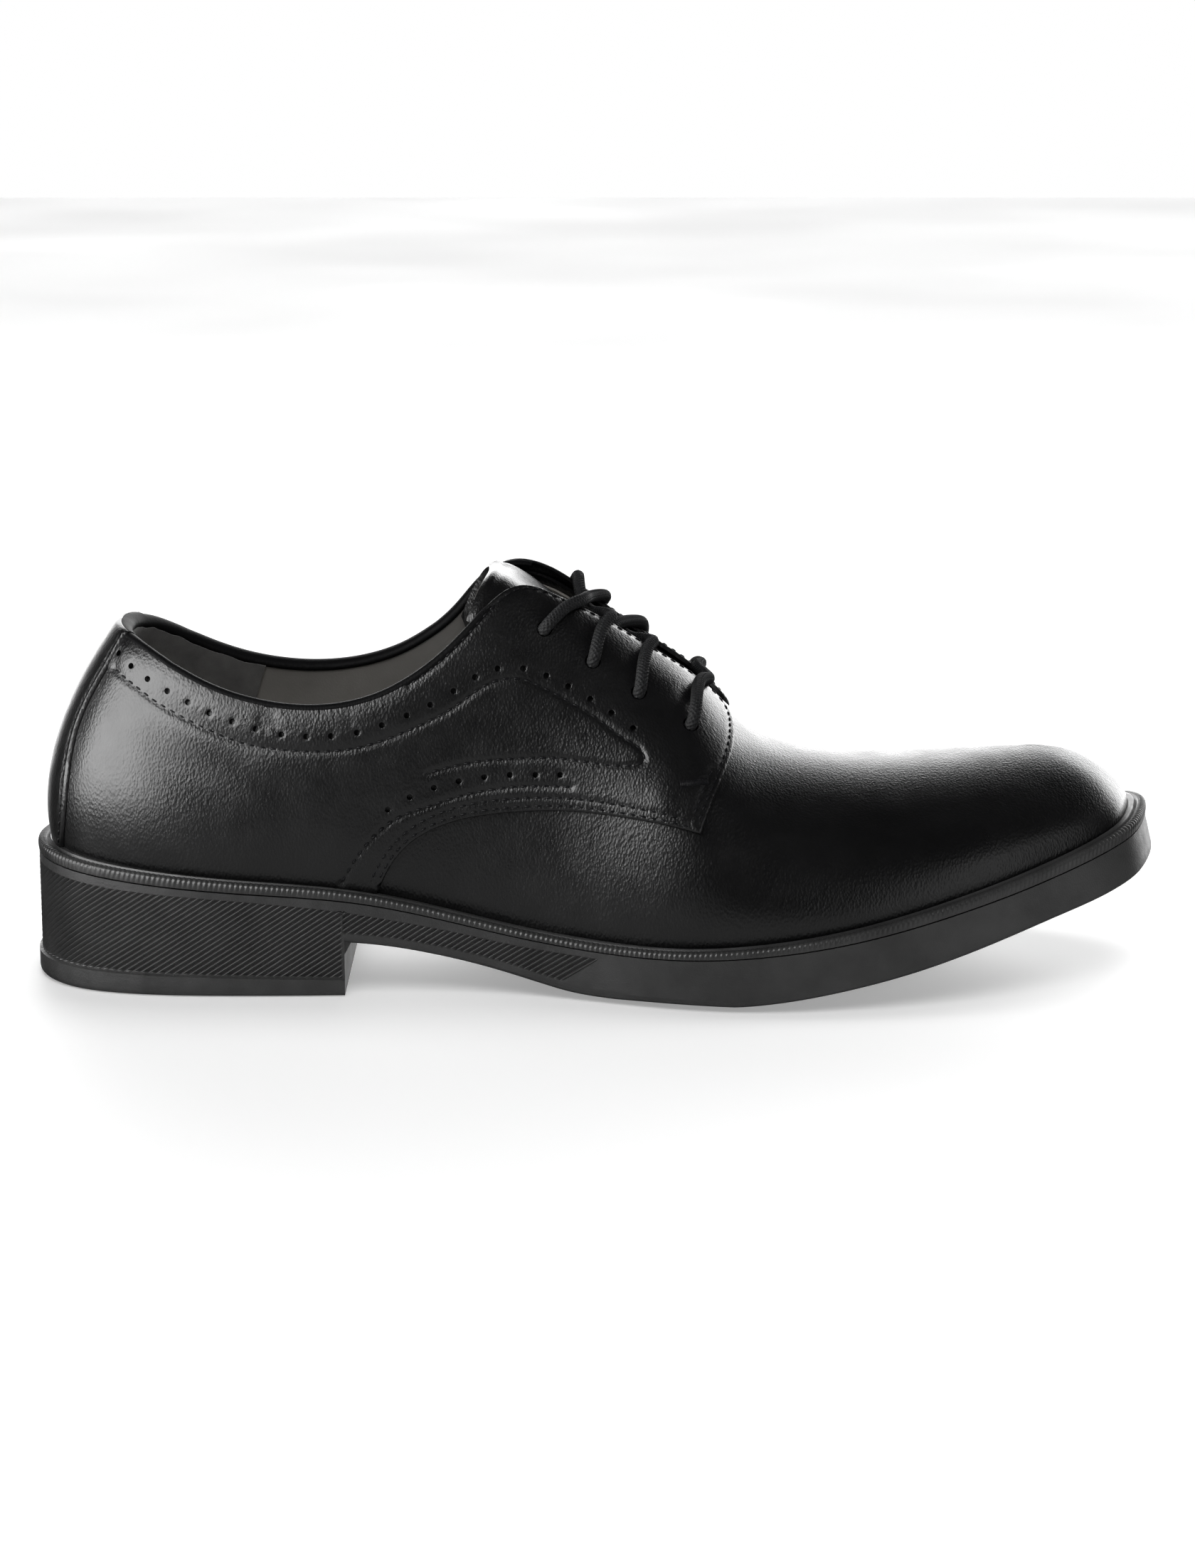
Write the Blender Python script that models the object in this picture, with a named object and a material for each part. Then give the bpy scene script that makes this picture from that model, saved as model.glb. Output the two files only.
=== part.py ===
"""Plain-toe derby dress shoe, right foot, at life size.

The toe points along +X, the outer side of the foot faces -Y, and the shoe stands on z = 0.
All sizes below are millimetres, and the meshes are made in metres.
"""

import math

import bmesh
import bpy
import numpy as np
from mathutils import Matrix, Vector
from mathutils.geometry import delaunay_2d_cdt

MM = 0.001
LATERAL = 0
MEDIAL = 1
SIDES = (LATERAL, MEDIAL)
OUTWARD_Y = {LATERAL: -1.0, MEDIAL: 1.0}
RIDGE = math.pi / 2


def table(columns, *rows):
    """A short table: one array for each named column, from its rows."""
    return {name: np.array(cells, float) for name, cells in zip(columns.split(), zip(*rows))}


# Driving sizes
GAP = 0.3                 # clearance kept between neighbouring pieces
WALL = 1.9                # upper with its lining
OVERLAY_GAP = 0.45        # from the upper to a quarter laid over it
QUARTER = 1.4             # thickness of a quarter
BACKSTAY = 1.0            # thickness of the strip over the back seam
TONGUE = 3.6              # padded tongue
TONGUE_GAP = 0.7          # from the upper to the tongue under it
INSOLE = 3.0
LACE_RADIUS = 1.6
EYELET_RADIUS = 2.1

# Edge of the outsole seen from above, heel to toe on each side
LATERAL_EDGE = table(
    "x y",
    (-151.5, 0.0), (-148.6, -15.0), (-140.0, -25.8), (-124.0, -32.4), (-98.0, -34.6),
    (-70.0, -34.0), (-42.0, -33.0), (-16.0, -36.0), (5.0, -43.0), (25.0, -49.3),
    (45.0, -51.3), (70.0, -49.0), (92.0, -43.6), (110.0, -36.4), (123.0, -29.6), (135.0, -22.2),
    (143.0, -14.4), (147.8, -3.0), (149.8, 11.0),
)
MEDIAL_EDGE = table(
    "x y",
    (-151.5, 0.0), (-148.6, 14.5), (-140.0, 25.0), (-124.0, 31.4), (-98.0, 33.0),
    (-66.0, 29.6), (-32.0, 27.4), (-4.0, 34.6), (22.0, 45.6), (46.0, 50.8),
    (70.0, 51.0), (92.0, 48.0), (112.0, 42.8), (128.0, 36.4), (140.0, 28.6), (147.4, 20.0),
    (149.8, 11.0),
)

# Levels of the sole along its length: underside in front of the heel, and top under the welt
BREAST_X = -67.0
SOLE_BOTTOM = table(
    "x z",
    (-67.0, 14.4), (-56.0, 13.2), (-45.0, 11.2), (-33.0, 8.4), (-20.0, 4.6), (-8.0, 1.2),
    (4.0, 0.0), (36.0, 0.0), (50.0, 1.7), (66.0, 4.7), (84.0, 9.0), (102.0, 14.4),
    (122.0, 20.7), (140.0, 26.3), (151.0, 30.9),
)
SOLE_TOP = table(
    "x z",
    (-152.0, 33.9), (-126.0, 30.8), (-94.0, 27.9), (-64.0, 25.2), (-42.0, 20.7), (-20.0, 16.0),
    (2.0, 13.8), (22.0, 13.7), (41.0, 15.0), (68.0, 18.7), (96.0, 25.0), (126.0, 33.1),
    (145.0, 39.3), (152.0, 41.6),
)
EDGE_ROUND = table(
    "x rise inset",
    (-150.0, 1.7, 1.9), (-67.0, 1.7, 1.9), (-40.0, 1.8, 2.0), (-20.0, 2.4, 3.6), (4.0, 3.2, 9.0),
    (24.0, 3.3, 11.0), (48.0, 3.0, 9.0), (80.0, 2.6, 5.0), (110.0, 2.3, 3.0), (151.0, 2.2, 2.4),
)
TOE_FLARE = table("x out", (30.0, 0.0), (80.0, 0.4), (120.0, 1.5), (151.0, 2.6))
ROUND_PROFILE = ((1.0, 1.0), (0.3, 0.7), (0.0, 0.0))   # shares of rise and inset, from the wall down
GUSSET = 3.5              # slope in the corner between heel breast and arch

# Ribs moulded into the side of heel and arch
RIB_PITCH = 2.27
RIB_SLOPE = math.tan(math.radians(33.0))
RIB_DEPTH = 0.75
RIB_STEEP = 0.22          # share of the pitch taken by the steep flank
RIB_FADE = 0.9
RIB_STRIDE = 15.0         # longest straight run along a rib
RIB_FRONT_TOP_X = 0.5     # front end of the ribbed field at its top and at its foot
RIB_FRONT_FOOT_X = -9.0
RIB_END_MARGIN = 1.5
RIB_EDGE_STEP = 6.0
RIB_SEARCH = 0.3          # step that finds where a rib meets the edge of its field
RIB_TOP = table(
    "x z",
    (-152.0, 31.6), (-126.0, 28.6), (-104.0, 26.9), (-83.0, 25.0), (-67.0, 23.0), (-53.0, 20.4),
    (-42.0, 18.3), (-31.0, 16.0), (-20.0, 14.0), (-9.0, 12.9), (10.0, 11.6),
)
RIB_FOOT = 1.0            # above the rounded foot of the arch
LIP_TOP = table("x z", (-152.0, 6.8), (-120.0, 6.2), (-67.0, 5.0))
LIP_OUT = 0.8
LIP_STEP = 0.5

# The upper: welt inset, ridge above the foot and shape of each section.
# Stations run round the edge from the back of the heel (0) to the tip of the toe (1).
WELT_INSET = table(
    "u inset",
    (0.0, 7.8), (0.06, 7.0), (0.2, 6.0), (0.32, 5.6), (0.42, 4.8), (0.55, 4.2), (0.8, 4.3), (1.0, 5.2),
)
WELT_HEIGHT = table(
    "x z",
    (-152.0, 3.0), (-100.0, 2.8), (-60.0, 2.4), (5.0, 1.9), (45.0, 2.3), (80.0, 2.8), (150.0, 3.2),
)
WELT_CROWN = table("out drop", (0.0, 1.0), (-0.7, 0.3), (-2.1, 0.3), (-2.7, 0.9))
RIDGE_PLACE = table(
    "u x",
    (0.0, -62.0), (0.13, -57.0), (0.25, -46.0), (0.36, -24.0), (0.45, 2.0), (0.54, 25.5),
    (0.60, 41.0), (0.66, 59.0), (0.73, 78.0), (0.80, 95.0), (0.87, 107.0), (0.94, 114.0),
    (1.0, 117.5),
)
RIDGE_LINE = table(
    "x y z",
    (-62.0, 0.0, 130.0), (-50.0, 0.0, 123.5), (-40.0, 0.0, 118.6), (-29.0, 0.0, 113.6),
    (-20.0, 1.2, 110.2), (-10.0, 1.4, 104.6), (2.0, 1.6, 97.0), (14.0, 2.0, 88.6),
    (24.0, 2.6, 81.6), (30.0, 3.1, 76.4), (36.0, 3.6, 70.4), (43.0, 4.2, 64.9), (52.0, 4.9, 60.9),
    (62.0, 5.6, 58.7), (75.0, 6.4, 57.7), (90.0, 7.2, 57.9), (105.0, 7.8, 58.7),
    (117.5, 8.2, 59.2),
)
# Fullness and swell of the outer and the inner side, height of the swell, and how far the section
# bends forward in plan (1) instead of leaning as a flat cut (0).
SECTION = table(
    "u full_lateral full_medial swell_lateral swell_medial peak bend",
    (0.0, 2.0, 2.0, 3.2, 3.2, 0.25, 1.0), (0.13, 2.05, 2.05, 3.4, 3.4, 0.25, 1.0),
    (0.25, 2.4, 2.6, 2.8, 3.6, 0.26, 0.5), (0.36, 3.4, 4.6, 1.8, 5.0, 0.28, 0.0),
    (0.42, 3.1, 4.4, 2.0, 5.4, 0.29, 0.0), (0.48, 2.7, 3.3, 2.2, 4.6, 0.30, 0.0),
    (0.54, 2.5, 2.7, 2.4, 3.4, 0.31, 0.2), (0.60, 2.3, 2.4, 2.4, 2.6, 0.33, 0.5),
    (0.66, 2.2, 2.2, 2.2, 2.2, 0.35, 0.8), (0.80, 2.2, 2.2, 2.0, 2.0, 0.38, 1.0),
    (1.0, 2.1, 2.1, 1.0, 1.0, 0.38, 1.0),
)

# Openings of the upper
COLLAR_LINE = table(
    "x z",
    (-134.0, 97.6), (-127.0, 95.2), (-120.5, 92.6), (-112.5, 88.2), (-101.0, 82.5), (-88.0, 78.7),
    (-77.0, 77.5), (-67.0, 78.2), (-57.0, 81.0), (-48.0, 85.8), (-40.0, 91.9), (-33.5, 98.2),
    (-27.0, 105.0), (-18.0, 115.0),
)
MEDIAL_COLLAR = table("x rise", (-115.0, 0.0), (-90.0, 1.0), (-60.0, 1.8), (-25.0, 2.2))
# Near edge of the backstay seen from the side, welt to collar
BACKSTAY_EDGE = table(
    "x z",
    (-140.9, 35.0), (-140.6, 39.6), (-139.2, 55.0), (-137.4, 65.7), (-133.6, 75.2), (-129.0, 83.5),
    (-123.4, 93.3),
)
FACING_GAP = table("x half", (-24.0, 15.5), (-8.0, 12.5), (12.0, 9.6), (34.0, 7.0))
CORNER_SOFTNESS = 1.5     # rounds the corner between collar and throat
FAR_OVER = 40.0           # distances beyond this make no difference to that rounding
# How far the upper is tucked in under the quarters where they bend round the heel
HEEL_TUCK = table("u deep", (0.0, 0.9), (0.065, 0.9), (0.095, 0.0))
TUCK_INSIDE = 0.4         # share of the tuck that its inner face takes part in
THROAT_BACK = -45.0       # sections that meet the ridge behind this end at the collar alone
THROAT_FRONT = 33.0
THROAT_ROUND = 9.0
THROAT_STATIONS = (29.0, 32.0)   # extra sections that round the end of the throat
THROAT_SETBACK = 2.0      # the upper ends this far behind the facing's edge

# Outline of a quarter seen from the side, after its collar edge
FACING_EDGE = table(
    "x half",
    (-17.0, 14.6), (-10.0, 13.2), (2.0, 11.2), (14.0, 9.6), (25.0, 8.2), (31.5, 8.4),
)
QUARTER_FRONT = table(
    "x z",
    (35.4, 67.4), (34.8, 64.2), (32.6, 59.6), (29.6, 53.2), (26.9, 46.2),
)
QUARTER_FOOT = table(
    "x z",
    (26.9, 46.2), (17.0, 48.4), (2.0, 49.9), (-13.5, 50.2), (-29.0, 48.7), (-41.0, 45.8),
    (-49.0, 41.4), (-54.0, 36.0), (-57.0, 30.4),
)
EYELETS = table("x z", (-14.3, 96.1), (-1.6, 87.6), (10.5, 79.5), (23.8, 71.2))
EYELET_FACETS = 8
EYELET_REACH = 1.2        # the cutters reach this far beyond both faces

# Visible runs of the lace, two for each crossing: the side and eyelet row it comes from, where it
# crosses its own facing edge, its place and height over the middle of the throat, and where it goes.
# A run to a row (1 to 4) of the other side crosses that facing's edge at end_x. A run to row 0
# stops inside the throat, at that x and distance from the ridge, before it goes under the facing.
LACE_RUNS = table(
    "side row edge_x middle_x middle_lift end_row end_x end_half end_lift",
    (LATERAL, 1, -9.6, -4.6, -0.2, 2, -2.4, 0.0, 0.0), (LATERAL, 2, 0.2, -4.6, -2.8, 1, -8.6, 0.0, 0.0),
    (MEDIAL, 3, 8.0, 5.6, -0.1, 0, 3.6, 6.0, -1.0), (LATERAL, 3, 11.2, 5.8, -2.7, 0, 2.5, 5.0, -2.2),
)
BAR_EDGE_X = (25.2, 23.0)
LACE_GAP = 0.6
LACE_LIFT = OVERLAY_GAP + QUARTER + LACE_GAP + LACE_RADIUS
EDGE_HOLD = 2.5           # the lace lies flat over this much of the facing before its edge
EDGE_DROP = 0.3           # and sinks this much just beyond the edge
LACE_FACETS = 6
LACE_STEP = 5.0

# Tongue
TONGUE_TOP_X = -27.5
TONGUE_FRONT_X = 45.0
TONGUE_HALF = table("x half", (-30.0, 21.5), (-20.0, 24.0), (10.0, 22.0), (45.0, 17.0))
TONGUE_SWEEP = -2.5       # how far the sides of its top edge lie in front of the middle
TONGUE_DIP = 3.0          # pressed down this much in the middle, under the laces

# Fineness of the meshes
SOLE_STEPS = 48
INSOLE_GAP = 0.5
STATIONS = 44             # sections on each side, closer together at heel and toe
CROWDING = 0.35
UPPER_ROWS = 8
SHEET_STEP = 8.8
SHEET_RISE = 80.0         # length of a section for one radian of its place
EDGE_STEP = 4.5
QUARTER_BACK = 2.0        # each quarter ends this far from the back seam
COLLAR_END_X = -31.0
COLLAR_POINTS = 14
SEAT_POINTS = 26
BACK_POINTS = 9
SEARCH_POINTS = 800
HALF_SEARCH_LOW = 0.3     # searches up a section start at these places
COLLAR_SEARCH_LOW = 0.05
GRID_MARGIN = 0.55        # share of the step kept free beside a sheet's edge
TONGUE_THINNING = 0.6     # share of its thickness lost at the sides
SEAT_GAP = 0.4
BACKSTAY_COLUMNS = 9
BACKSTAY_ROWS = 9
TONGUE_ROWS = 12
TONGUE_COLUMNS = 9

BLACK_LEATHER = ("black_leather", (0.012, 0.012, 0.013, 1.0), 0.38)
BLACK_RUBBER = ("black_rubber", (0.014, 0.014, 0.014, 1.0), 0.62)
WELT_RUBBER = ("welt_rubber", (0.013, 0.013, 0.013, 1.0), 0.5)
GREY_LINING = ("grey_lining", (0.06, 0.058, 0.055, 1.0), 0.7)
LACE_CORD = ("lace_cord", (0.02, 0.02, 0.022, 1.0), 0.7)


def spline(knots, values):
    """Natural cubic spline through two columns of a table, level beyond its ends."""
    count = len(knots)
    gaps = np.diff(knots)
    slopes = np.diff(values) / gaps
    system = np.eye(count)
    right = np.zeros(count)
    for i in range(1, count - 1):
        system[i, i - 1:i + 2] = gaps[i - 1], 2 * (gaps[i - 1] + gaps[i]), gaps[i]
        right[i] = 6 * (slopes[i] - slopes[i - 1])
    bend = np.linalg.solve(system, right)

    def at(place):
        held = np.clip(place, knots[0], knots[-1])
        i = np.clip(np.searchsorted(knots, held) - 1, 0, count - 2)
        before = held - knots[i]
        after = knots[i + 1] - held
        cubic = (bend[i] * after ** 3 + bend[i + 1] * before ** 3) / (6 * gaps[i])
        first = (values[i] / gaps[i] - bend[i] * gaps[i] / 6) * after
        second = (values[i + 1] / gaps[i] - bend[i + 1] * gaps[i] / 6) * before
        return cubic + first + second

    return at


def column(rows, key, value):
    return spline(rows[key], rows[value])


def along(points, spacing):
    """Evenly spaced points on a smooth open curve through a few points of any dimension."""
    points = np.asarray(points, float)
    reach = np.concatenate([[0.0], np.cumsum(np.linalg.norm(np.diff(points, axis=0), axis=1))])
    curves = [spline(reach, points[:, k]) for k in range(points.shape[1])]
    fine = np.linspace(0.0, reach[-1], 40 * len(points))
    path = np.stack([curve(fine) for curve in curves], axis=1)
    run = np.concatenate([[0.0], np.cumsum(np.linalg.norm(np.diff(path, axis=0), axis=1))])
    steps = np.linspace(0.0, run[-1], max(2, int(round(run[-1] / spacing)) + 1))
    return np.stack([np.interp(steps, run, path[:, k]) for k in range(points.shape[1])], axis=1)


class SoleEdge:
    """Closed edge of the sole, read by side and by share of the way from heel to toe."""

    WRAP = 4
    SAMPLES = 900

    def __init__(self):
        outer = np.stack([LATERAL_EDGE["x"], LATERAL_EDGE["y"]], axis=1)
        inner = np.stack([MEDIAL_EDGE["x"], MEDIAL_EDGE["y"]], axis=1)
        loop = np.concatenate([outer, inner[-2:0:-1]])
        ring = np.concatenate([loop[-self.WRAP:], loop, loop[:self.WRAP + 1]])
        reach = np.concatenate([[0.0], np.cumsum(np.linalg.norm(np.diff(ring, axis=0), axis=1))])
        heel = reach[self.WRAP]
        toe = reach[self.WRAP + len(outer) - 1]
        back = reach[self.WRAP + len(loop)]
        curve_x = spline(reach, ring[:, 0])
        curve_y = spline(reach, ring[:, 1])
        self.sides = [
            self.trace(curve_x, curve_y, heel, toe, OUTWARD_Y[LATERAL]),
            self.trace(curve_x, curve_y, back, toe, OUTWARD_Y[MEDIAL]),
        ]

    def trace(self, curve_x, curve_y, start, end, outward):
        place = np.linspace(start, end, self.SAMPLES)
        x = curve_x(place)
        y = curve_y(place)
        step = math.copysign(0.05, end - start)
        tangent = np.stack([c(place + step) - c(place - step) for c in (curve_x, curve_y)], axis=1)
        tangent /= np.linalg.norm(tangent, axis=1)[:, None]
        run = np.concatenate([[0.0], np.cumsum(np.hypot(np.diff(x), np.diff(y)))])
        return {
            "length": run[-1],
            "u": run / run[-1],
            "x": x,
            "y": y,
            "nx": -outward * tangent[:, 1],
            "ny": outward * tangent[:, 0],
        }

    def at(self, side, u):
        trace = self.sides[side]
        return [np.interp(u, trace["u"], trace[key]) for key in ("x", "y", "nx", "ny")]

    def length(self, side):
        return self.sides[side]["length"]

    def share_at_x(self, side, x):
        trace = self.sides[side]
        return np.interp(x, np.maximum.accumulate(trace["x"]), trace["u"])


EDGE = SoleEdge()
sole_curve = column(SOLE_BOTTOM, "x", "z")
sole_top = column(SOLE_TOP, "x", "z")
edge_rise = column(EDGE_ROUND, "x", "rise")
edge_inset = column(EDGE_ROUND, "x", "inset")
toe_flare = column(TOE_FLARE, "x", "out")
rib_top = column(RIB_TOP, "x", "z")
lip_top = column(LIP_TOP, "x", "z")
welt_inset = column(WELT_INSET, "u", "inset")
welt_height = column(WELT_HEIGHT, "x", "z")
ridge_place = column(RIDGE_PLACE, "u", "x")
ridge_y = column(RIDGE_LINE, "x", "y")
ridge_z = column(RIDGE_LINE, "x", "z")
fullness = [column(SECTION, "u", "full_lateral"), column(SECTION, "u", "full_medial")]
swelling = [column(SECTION, "u", "swell_lateral"), column(SECTION, "u", "swell_medial")]
swell_peak = column(SECTION, "u", "peak")
section_bend = column(SECTION, "u", "bend")
collar_line = column(COLLAR_LINE, "x", "z")
medial_collar = column(MEDIAL_COLLAR, "x", "rise")
facing_gap = column(FACING_GAP, "x", "half")
facing_half = column(FACING_EDGE, "x", "half")
tongue_half = column(TONGUE_HALF, "x", "half")


def sole_bottom(x):
    """Underside in front of the heel, flat where it meets the floor."""
    return np.maximum(sole_curve(x), 0.0)


def ridge_share(x):
    """Station whose section ends at this place on the ridge."""
    shares = np.linspace(0.0, 1.0, 2001)
    return np.interp(x, ridge_place(shares), shares)


def section_ends(side, u):
    """Foot of a section on the welt and its end on the ridge, with the outward direction."""
    x, y, nx, ny = EDGE.at(side, u)
    inset = welt_inset(u)
    foot_x = x - nx * inset
    foot_y = y - ny * inset
    foot = (foot_x, foot_y, sole_top(foot_x) + GAP)
    top_x = ridge_place(u)
    return foot, (top_x, ridge_y(top_x), ridge_z(top_x)), (nx, ny)


def last_point(side, u, phi):
    """Outer surface of the upper: from the welt (phi 0) over the foot to its ridge (phi 90 degrees)."""
    foot, top, (nx, ny) = section_ends(side, u)
    power = fullness[side](u)
    rise = np.sin(np.clip(phi, 0.0, RIDGE))
    across = np.maximum(np.cos(np.clip(phi, 0.0, RIDGE)), 0.0)
    size = (rise ** power + across ** power) ** (1.0 / power)
    rise = rise / size
    across = across / size
    peak = swell_peak(u)
    fall = 1.0 / peak - 1.0
    out = swelling[side](u) * rise * (1.0 - rise) ** fall / (peak * (1.0 - peak) ** fall)
    bend = np.clip(section_bend(u), 0.0, 1.0)
    back = bend * across + (1.0 - bend) * (1.0 - rise)
    return np.stack([
        top[0] + (foot[0] - top[0]) * back + nx * out,
        top[1] + (foot[1] - top[1]) * across + ny * out,
        foot[2] + (top[2] - foot[2]) * rise,
    ], axis=-1)


def last_normal(side, u, phi):
    """Outward direction of that surface."""
    step_u = 0.002
    step_phi = 0.004
    u = np.asarray(u, float)
    phi = np.asarray(phi, float)
    low = np.clip(u - step_u, 0.0, 1.0)
    high = np.clip(u + step_u, 0.0, 1.0)
    down = np.clip(phi - step_phi, 0.003, RIDGE)
    up = np.clip(phi + step_phi, 0.003 + step_phi, RIDGE)
    forward = last_point(side, high, phi) - last_point(side, low, phi)
    upward = last_point(side, u, up) - last_point(side, u, down)
    normal = np.cross(forward, upward) * -OUTWARD_Y[side]
    return normal / np.linalg.norm(normal, axis=-1)[..., None]


def offset_point(side, u, phi, out):
    return last_point(side, u, phi) + last_normal(side, u, phi) * np.asarray(out)[..., None]


def phi_at_height(side, u, z):
    """Place up a section where it reaches a height."""
    foot, top, _ = section_ends(side, u)
    rise = np.clip((z - foot[2]) / (top[2] - foot[2]), 0.0, 1.0)
    power = fullness[side](u)
    return np.arctan2(rise, (1.0 - rise ** power) ** (1.0 / power))


def phi_at_half(side, u, half):
    """Place up a section where it is this far from the ridge, seen from above."""
    phi = np.linspace(HALF_SEARCH_LOW, RIDGE, SEARCH_POINTS)
    points = last_point(side, np.full(SEARCH_POINTS, u), phi)
    distance = np.abs(points[:, 1] - ridge_y(ridge_place(u)))
    return np.interp(-half, -distance, phi)


def bisect(measure, low, high, steps=32):
    for _ in range(steps):
        middle = 0.5 * (low + high)
        if measure(middle) < 0.0:
            low = middle
        else:
            high = middle
    return 0.5 * (low + high)


def place_from_side(side, x, z):
    """Station and place up the section of a point given as seen from the side."""
    def ahead(u):
        return last_point(side, u, phi_at_height(side, u, z))[0] - x

    u = bisect(ahead, 0.0, 1.0)
    return u, float(phi_at_height(side, u, z))


def place_from_above(side, x, half):
    """Station and place up the section of a point given as seen from above."""
    def ahead(u):
        return last_point(side, u, phi_at_half(side, u, half))[0] - x

    u = bisect(ahead, 0.1, 0.95, 24)
    return u, float(phi_at_half(side, u, half))


class Skin:
    """Faces of one solid, sharing the points that fall in one place."""

    def __init__(self):
        self.points = []
        self.places = {}
        self.faces = []

    def point(self, place):
        key = tuple(int(round(float(v) * 2000)) for v in place)
        if key not in self.places:
            self.places[key] = len(self.points)
            self.points.append([float(v) for v in place])
        return self.places[key]

    def face(self, *corners):
        ring = []
        for corner in corners:
            index = self.point(corner)
            if index not in ring:
                ring.append(index)
        if len(ring) > 2:
            self.faces.append(ring)

    def strip(self, first, second):
        """Quads between two rows of points of equal length."""
        for i in range(len(first) - 1):
            self.face(first[i], first[i + 1], second[i + 1], second[i])

    def make(self, name, finish, smooth_angle=35.0):
        mesh = bpy.data.meshes.new(name)
        mesh.from_pydata([[v * MM for v in p] for p in self.points], [], self.faces)
        shape = bmesh.new()
        shape.from_mesh(mesh)
        bmesh.ops.triangulate(shape, faces=shape.faces[:])
        bmesh.ops.recalc_face_normals(shape, faces=shape.faces[:])
        if shape.calc_volume(signed=True) < 0.0:
            bmesh.ops.reverse_faces(shape, faces=shape.faces[:])
        shape.to_mesh(mesh)
        shape.free()
        mesh.shade_smooth()
        mesh.set_sharp_from_angle(angle=math.radians(smooth_angle))
        thing = bpy.data.objects.new(name, mesh)
        bpy.context.scene.collection.objects.link(thing)
        mesh.materials.append(material(finish))
        return thing


def material(finish):
    name, colour, roughness = finish
    if name in bpy.data.materials:
        return bpy.data.materials[name]
    made = bpy.data.materials.new(name)
    made.use_nodes = True
    shader = made.node_tree.nodes["Principled BSDF"]
    shader.inputs["Base Color"].default_value = colour
    shader.inputs["Roughness"].default_value = roughness
    shader.inputs["Metallic"].default_value = 0.0
    return made


def triangulate(outline, inner_lines, inner_points):
    """Triangles that fill an outline and follow the lines inside it, in two dimensions."""
    points = [Vector(p) for p in outline]
    count = len(points)
    edges = [(i, (i + 1) % count) for i in range(count)]
    for line in inner_lines:
        start = len(points)
        points.extend(Vector(p) for p in line)
        edges.extend((start + i, start + i + 1) for i in range(len(line) - 1))
    points.extend(Vector(p) for p in inner_points)
    found = delaunay_2d_cdt(points, edges, [], 1, 1e-5)
    return np.array([tuple(p) for p in found[0]]), found[2]


def inside(outline, points):
    """Which points lie inside a closed outline."""
    outline = np.asarray(outline)
    x = points[:, 0]
    y = points[:, 1]
    held = np.zeros(len(points), bool)
    for (ax, ay), (bx, by) in zip(outline, np.roll(outline, -1, axis=0)):
        if ay == by:
            continue
        crosses = (ay > y) != (by > y)
        held ^= crosses & (x < ax + (bx - ax) * (y - ay) / (by - ay))
    return held


def clearance(outline, points):
    """Distance of each point from a closed outline."""
    outline = np.asarray(outline)
    best = np.full(len(points), np.inf)
    for a, b in zip(outline, np.roll(outline, -1, axis=0)):
        run = b - a
        share = np.clip(((points - a) @ run) / max(run @ run, 1e-12), 0.0, 1.0)
        best = np.minimum(best, np.linalg.norm(points - a - share[:, None] * run, axis=1))
    return best


# Outsole
def sole_stations():
    """Places along x, and the share of the edge on each side that reaches each of them."""
    x = EDGE.at(LATERAL, np.linspace(0.0, 1.0, SOLE_STEPS + 1))[0]
    breast = int(np.argmin(np.abs(x - BREAST_X)))
    x[breast] = BREAST_X
    shares = [EDGE.share_at_x(side, x) for side in SIDES]
    for side in SIDES:
        shares[side][0] = 0.0
        shares[side][-1] = 1.0
    return x, shares, breast


def wall_place(a):
    """Side and station of a distance round the edge from the back of the heel, outer side negative."""
    side = LATERAL if a < 0.0 else MEDIAL
    return side, min(abs(a) / EDGE.length(side), 1.0)


def wall_distance(side, u):
    return OUTWARD_Y[side] * u * EDGE.length(side)


def wall_x(a):
    return float(EDGE.at(*wall_place(a))[0])


def wall_point(a, z, out):
    """Point of the side wall, which leans out towards its foot at the toe."""
    x, y, nx, ny = (float(v) for v in EDGE.at(*wall_place(a)))
    if x > TOE_FLARE["x"][0]:
        out += (sole_top(x) - z) / (sole_top(x) - sole_bottom(x)) * toe_flare(x)
    return x + nx * out, y + ny * out, z


def rib_field():
    """The ribbed field unrolled: its edge under the ribs, from toe to toe, and its edge above them."""
    foot, head = [], []
    for side in SIDES:
        def spread(first_x, last_x):
            """Even distances along the edge between two places."""
            ends = [wall_distance(side, float(EDGE.share_at_x(side, x))) for x in (first_x, last_x)]
            return np.linspace(*ends, int(abs(ends[1] - ends[0]) / RIB_EDGE_STEP) + 1)

        back_x = LATERAL_EDGE["x"][0]
        turn_x = BREAST_X - RIB_END_MARGIN
        heel = [(a, float(lip_top(wall_x(a)))) for a in spread(back_x, turn_x)]
        arch = [(a, float(sole_bottom(max(wall_x(a), BREAST_X)) + edge_rise(wall_x(a))) + RIB_FOOT)
                for a in spread(turn_x, RIB_FRONT_FOOT_X)]
        foot.append(heel + arch)
        head.append([(a, float(rib_top(wall_x(a)))) for a in spread(back_x, RIB_FRONT_TOP_X)])
    under = foot[LATERAL][::-1] + foot[MEDIAL][1:]
    above = head[LATERAL][::-1] + head[MEDIAL][1:]
    return under, above


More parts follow.
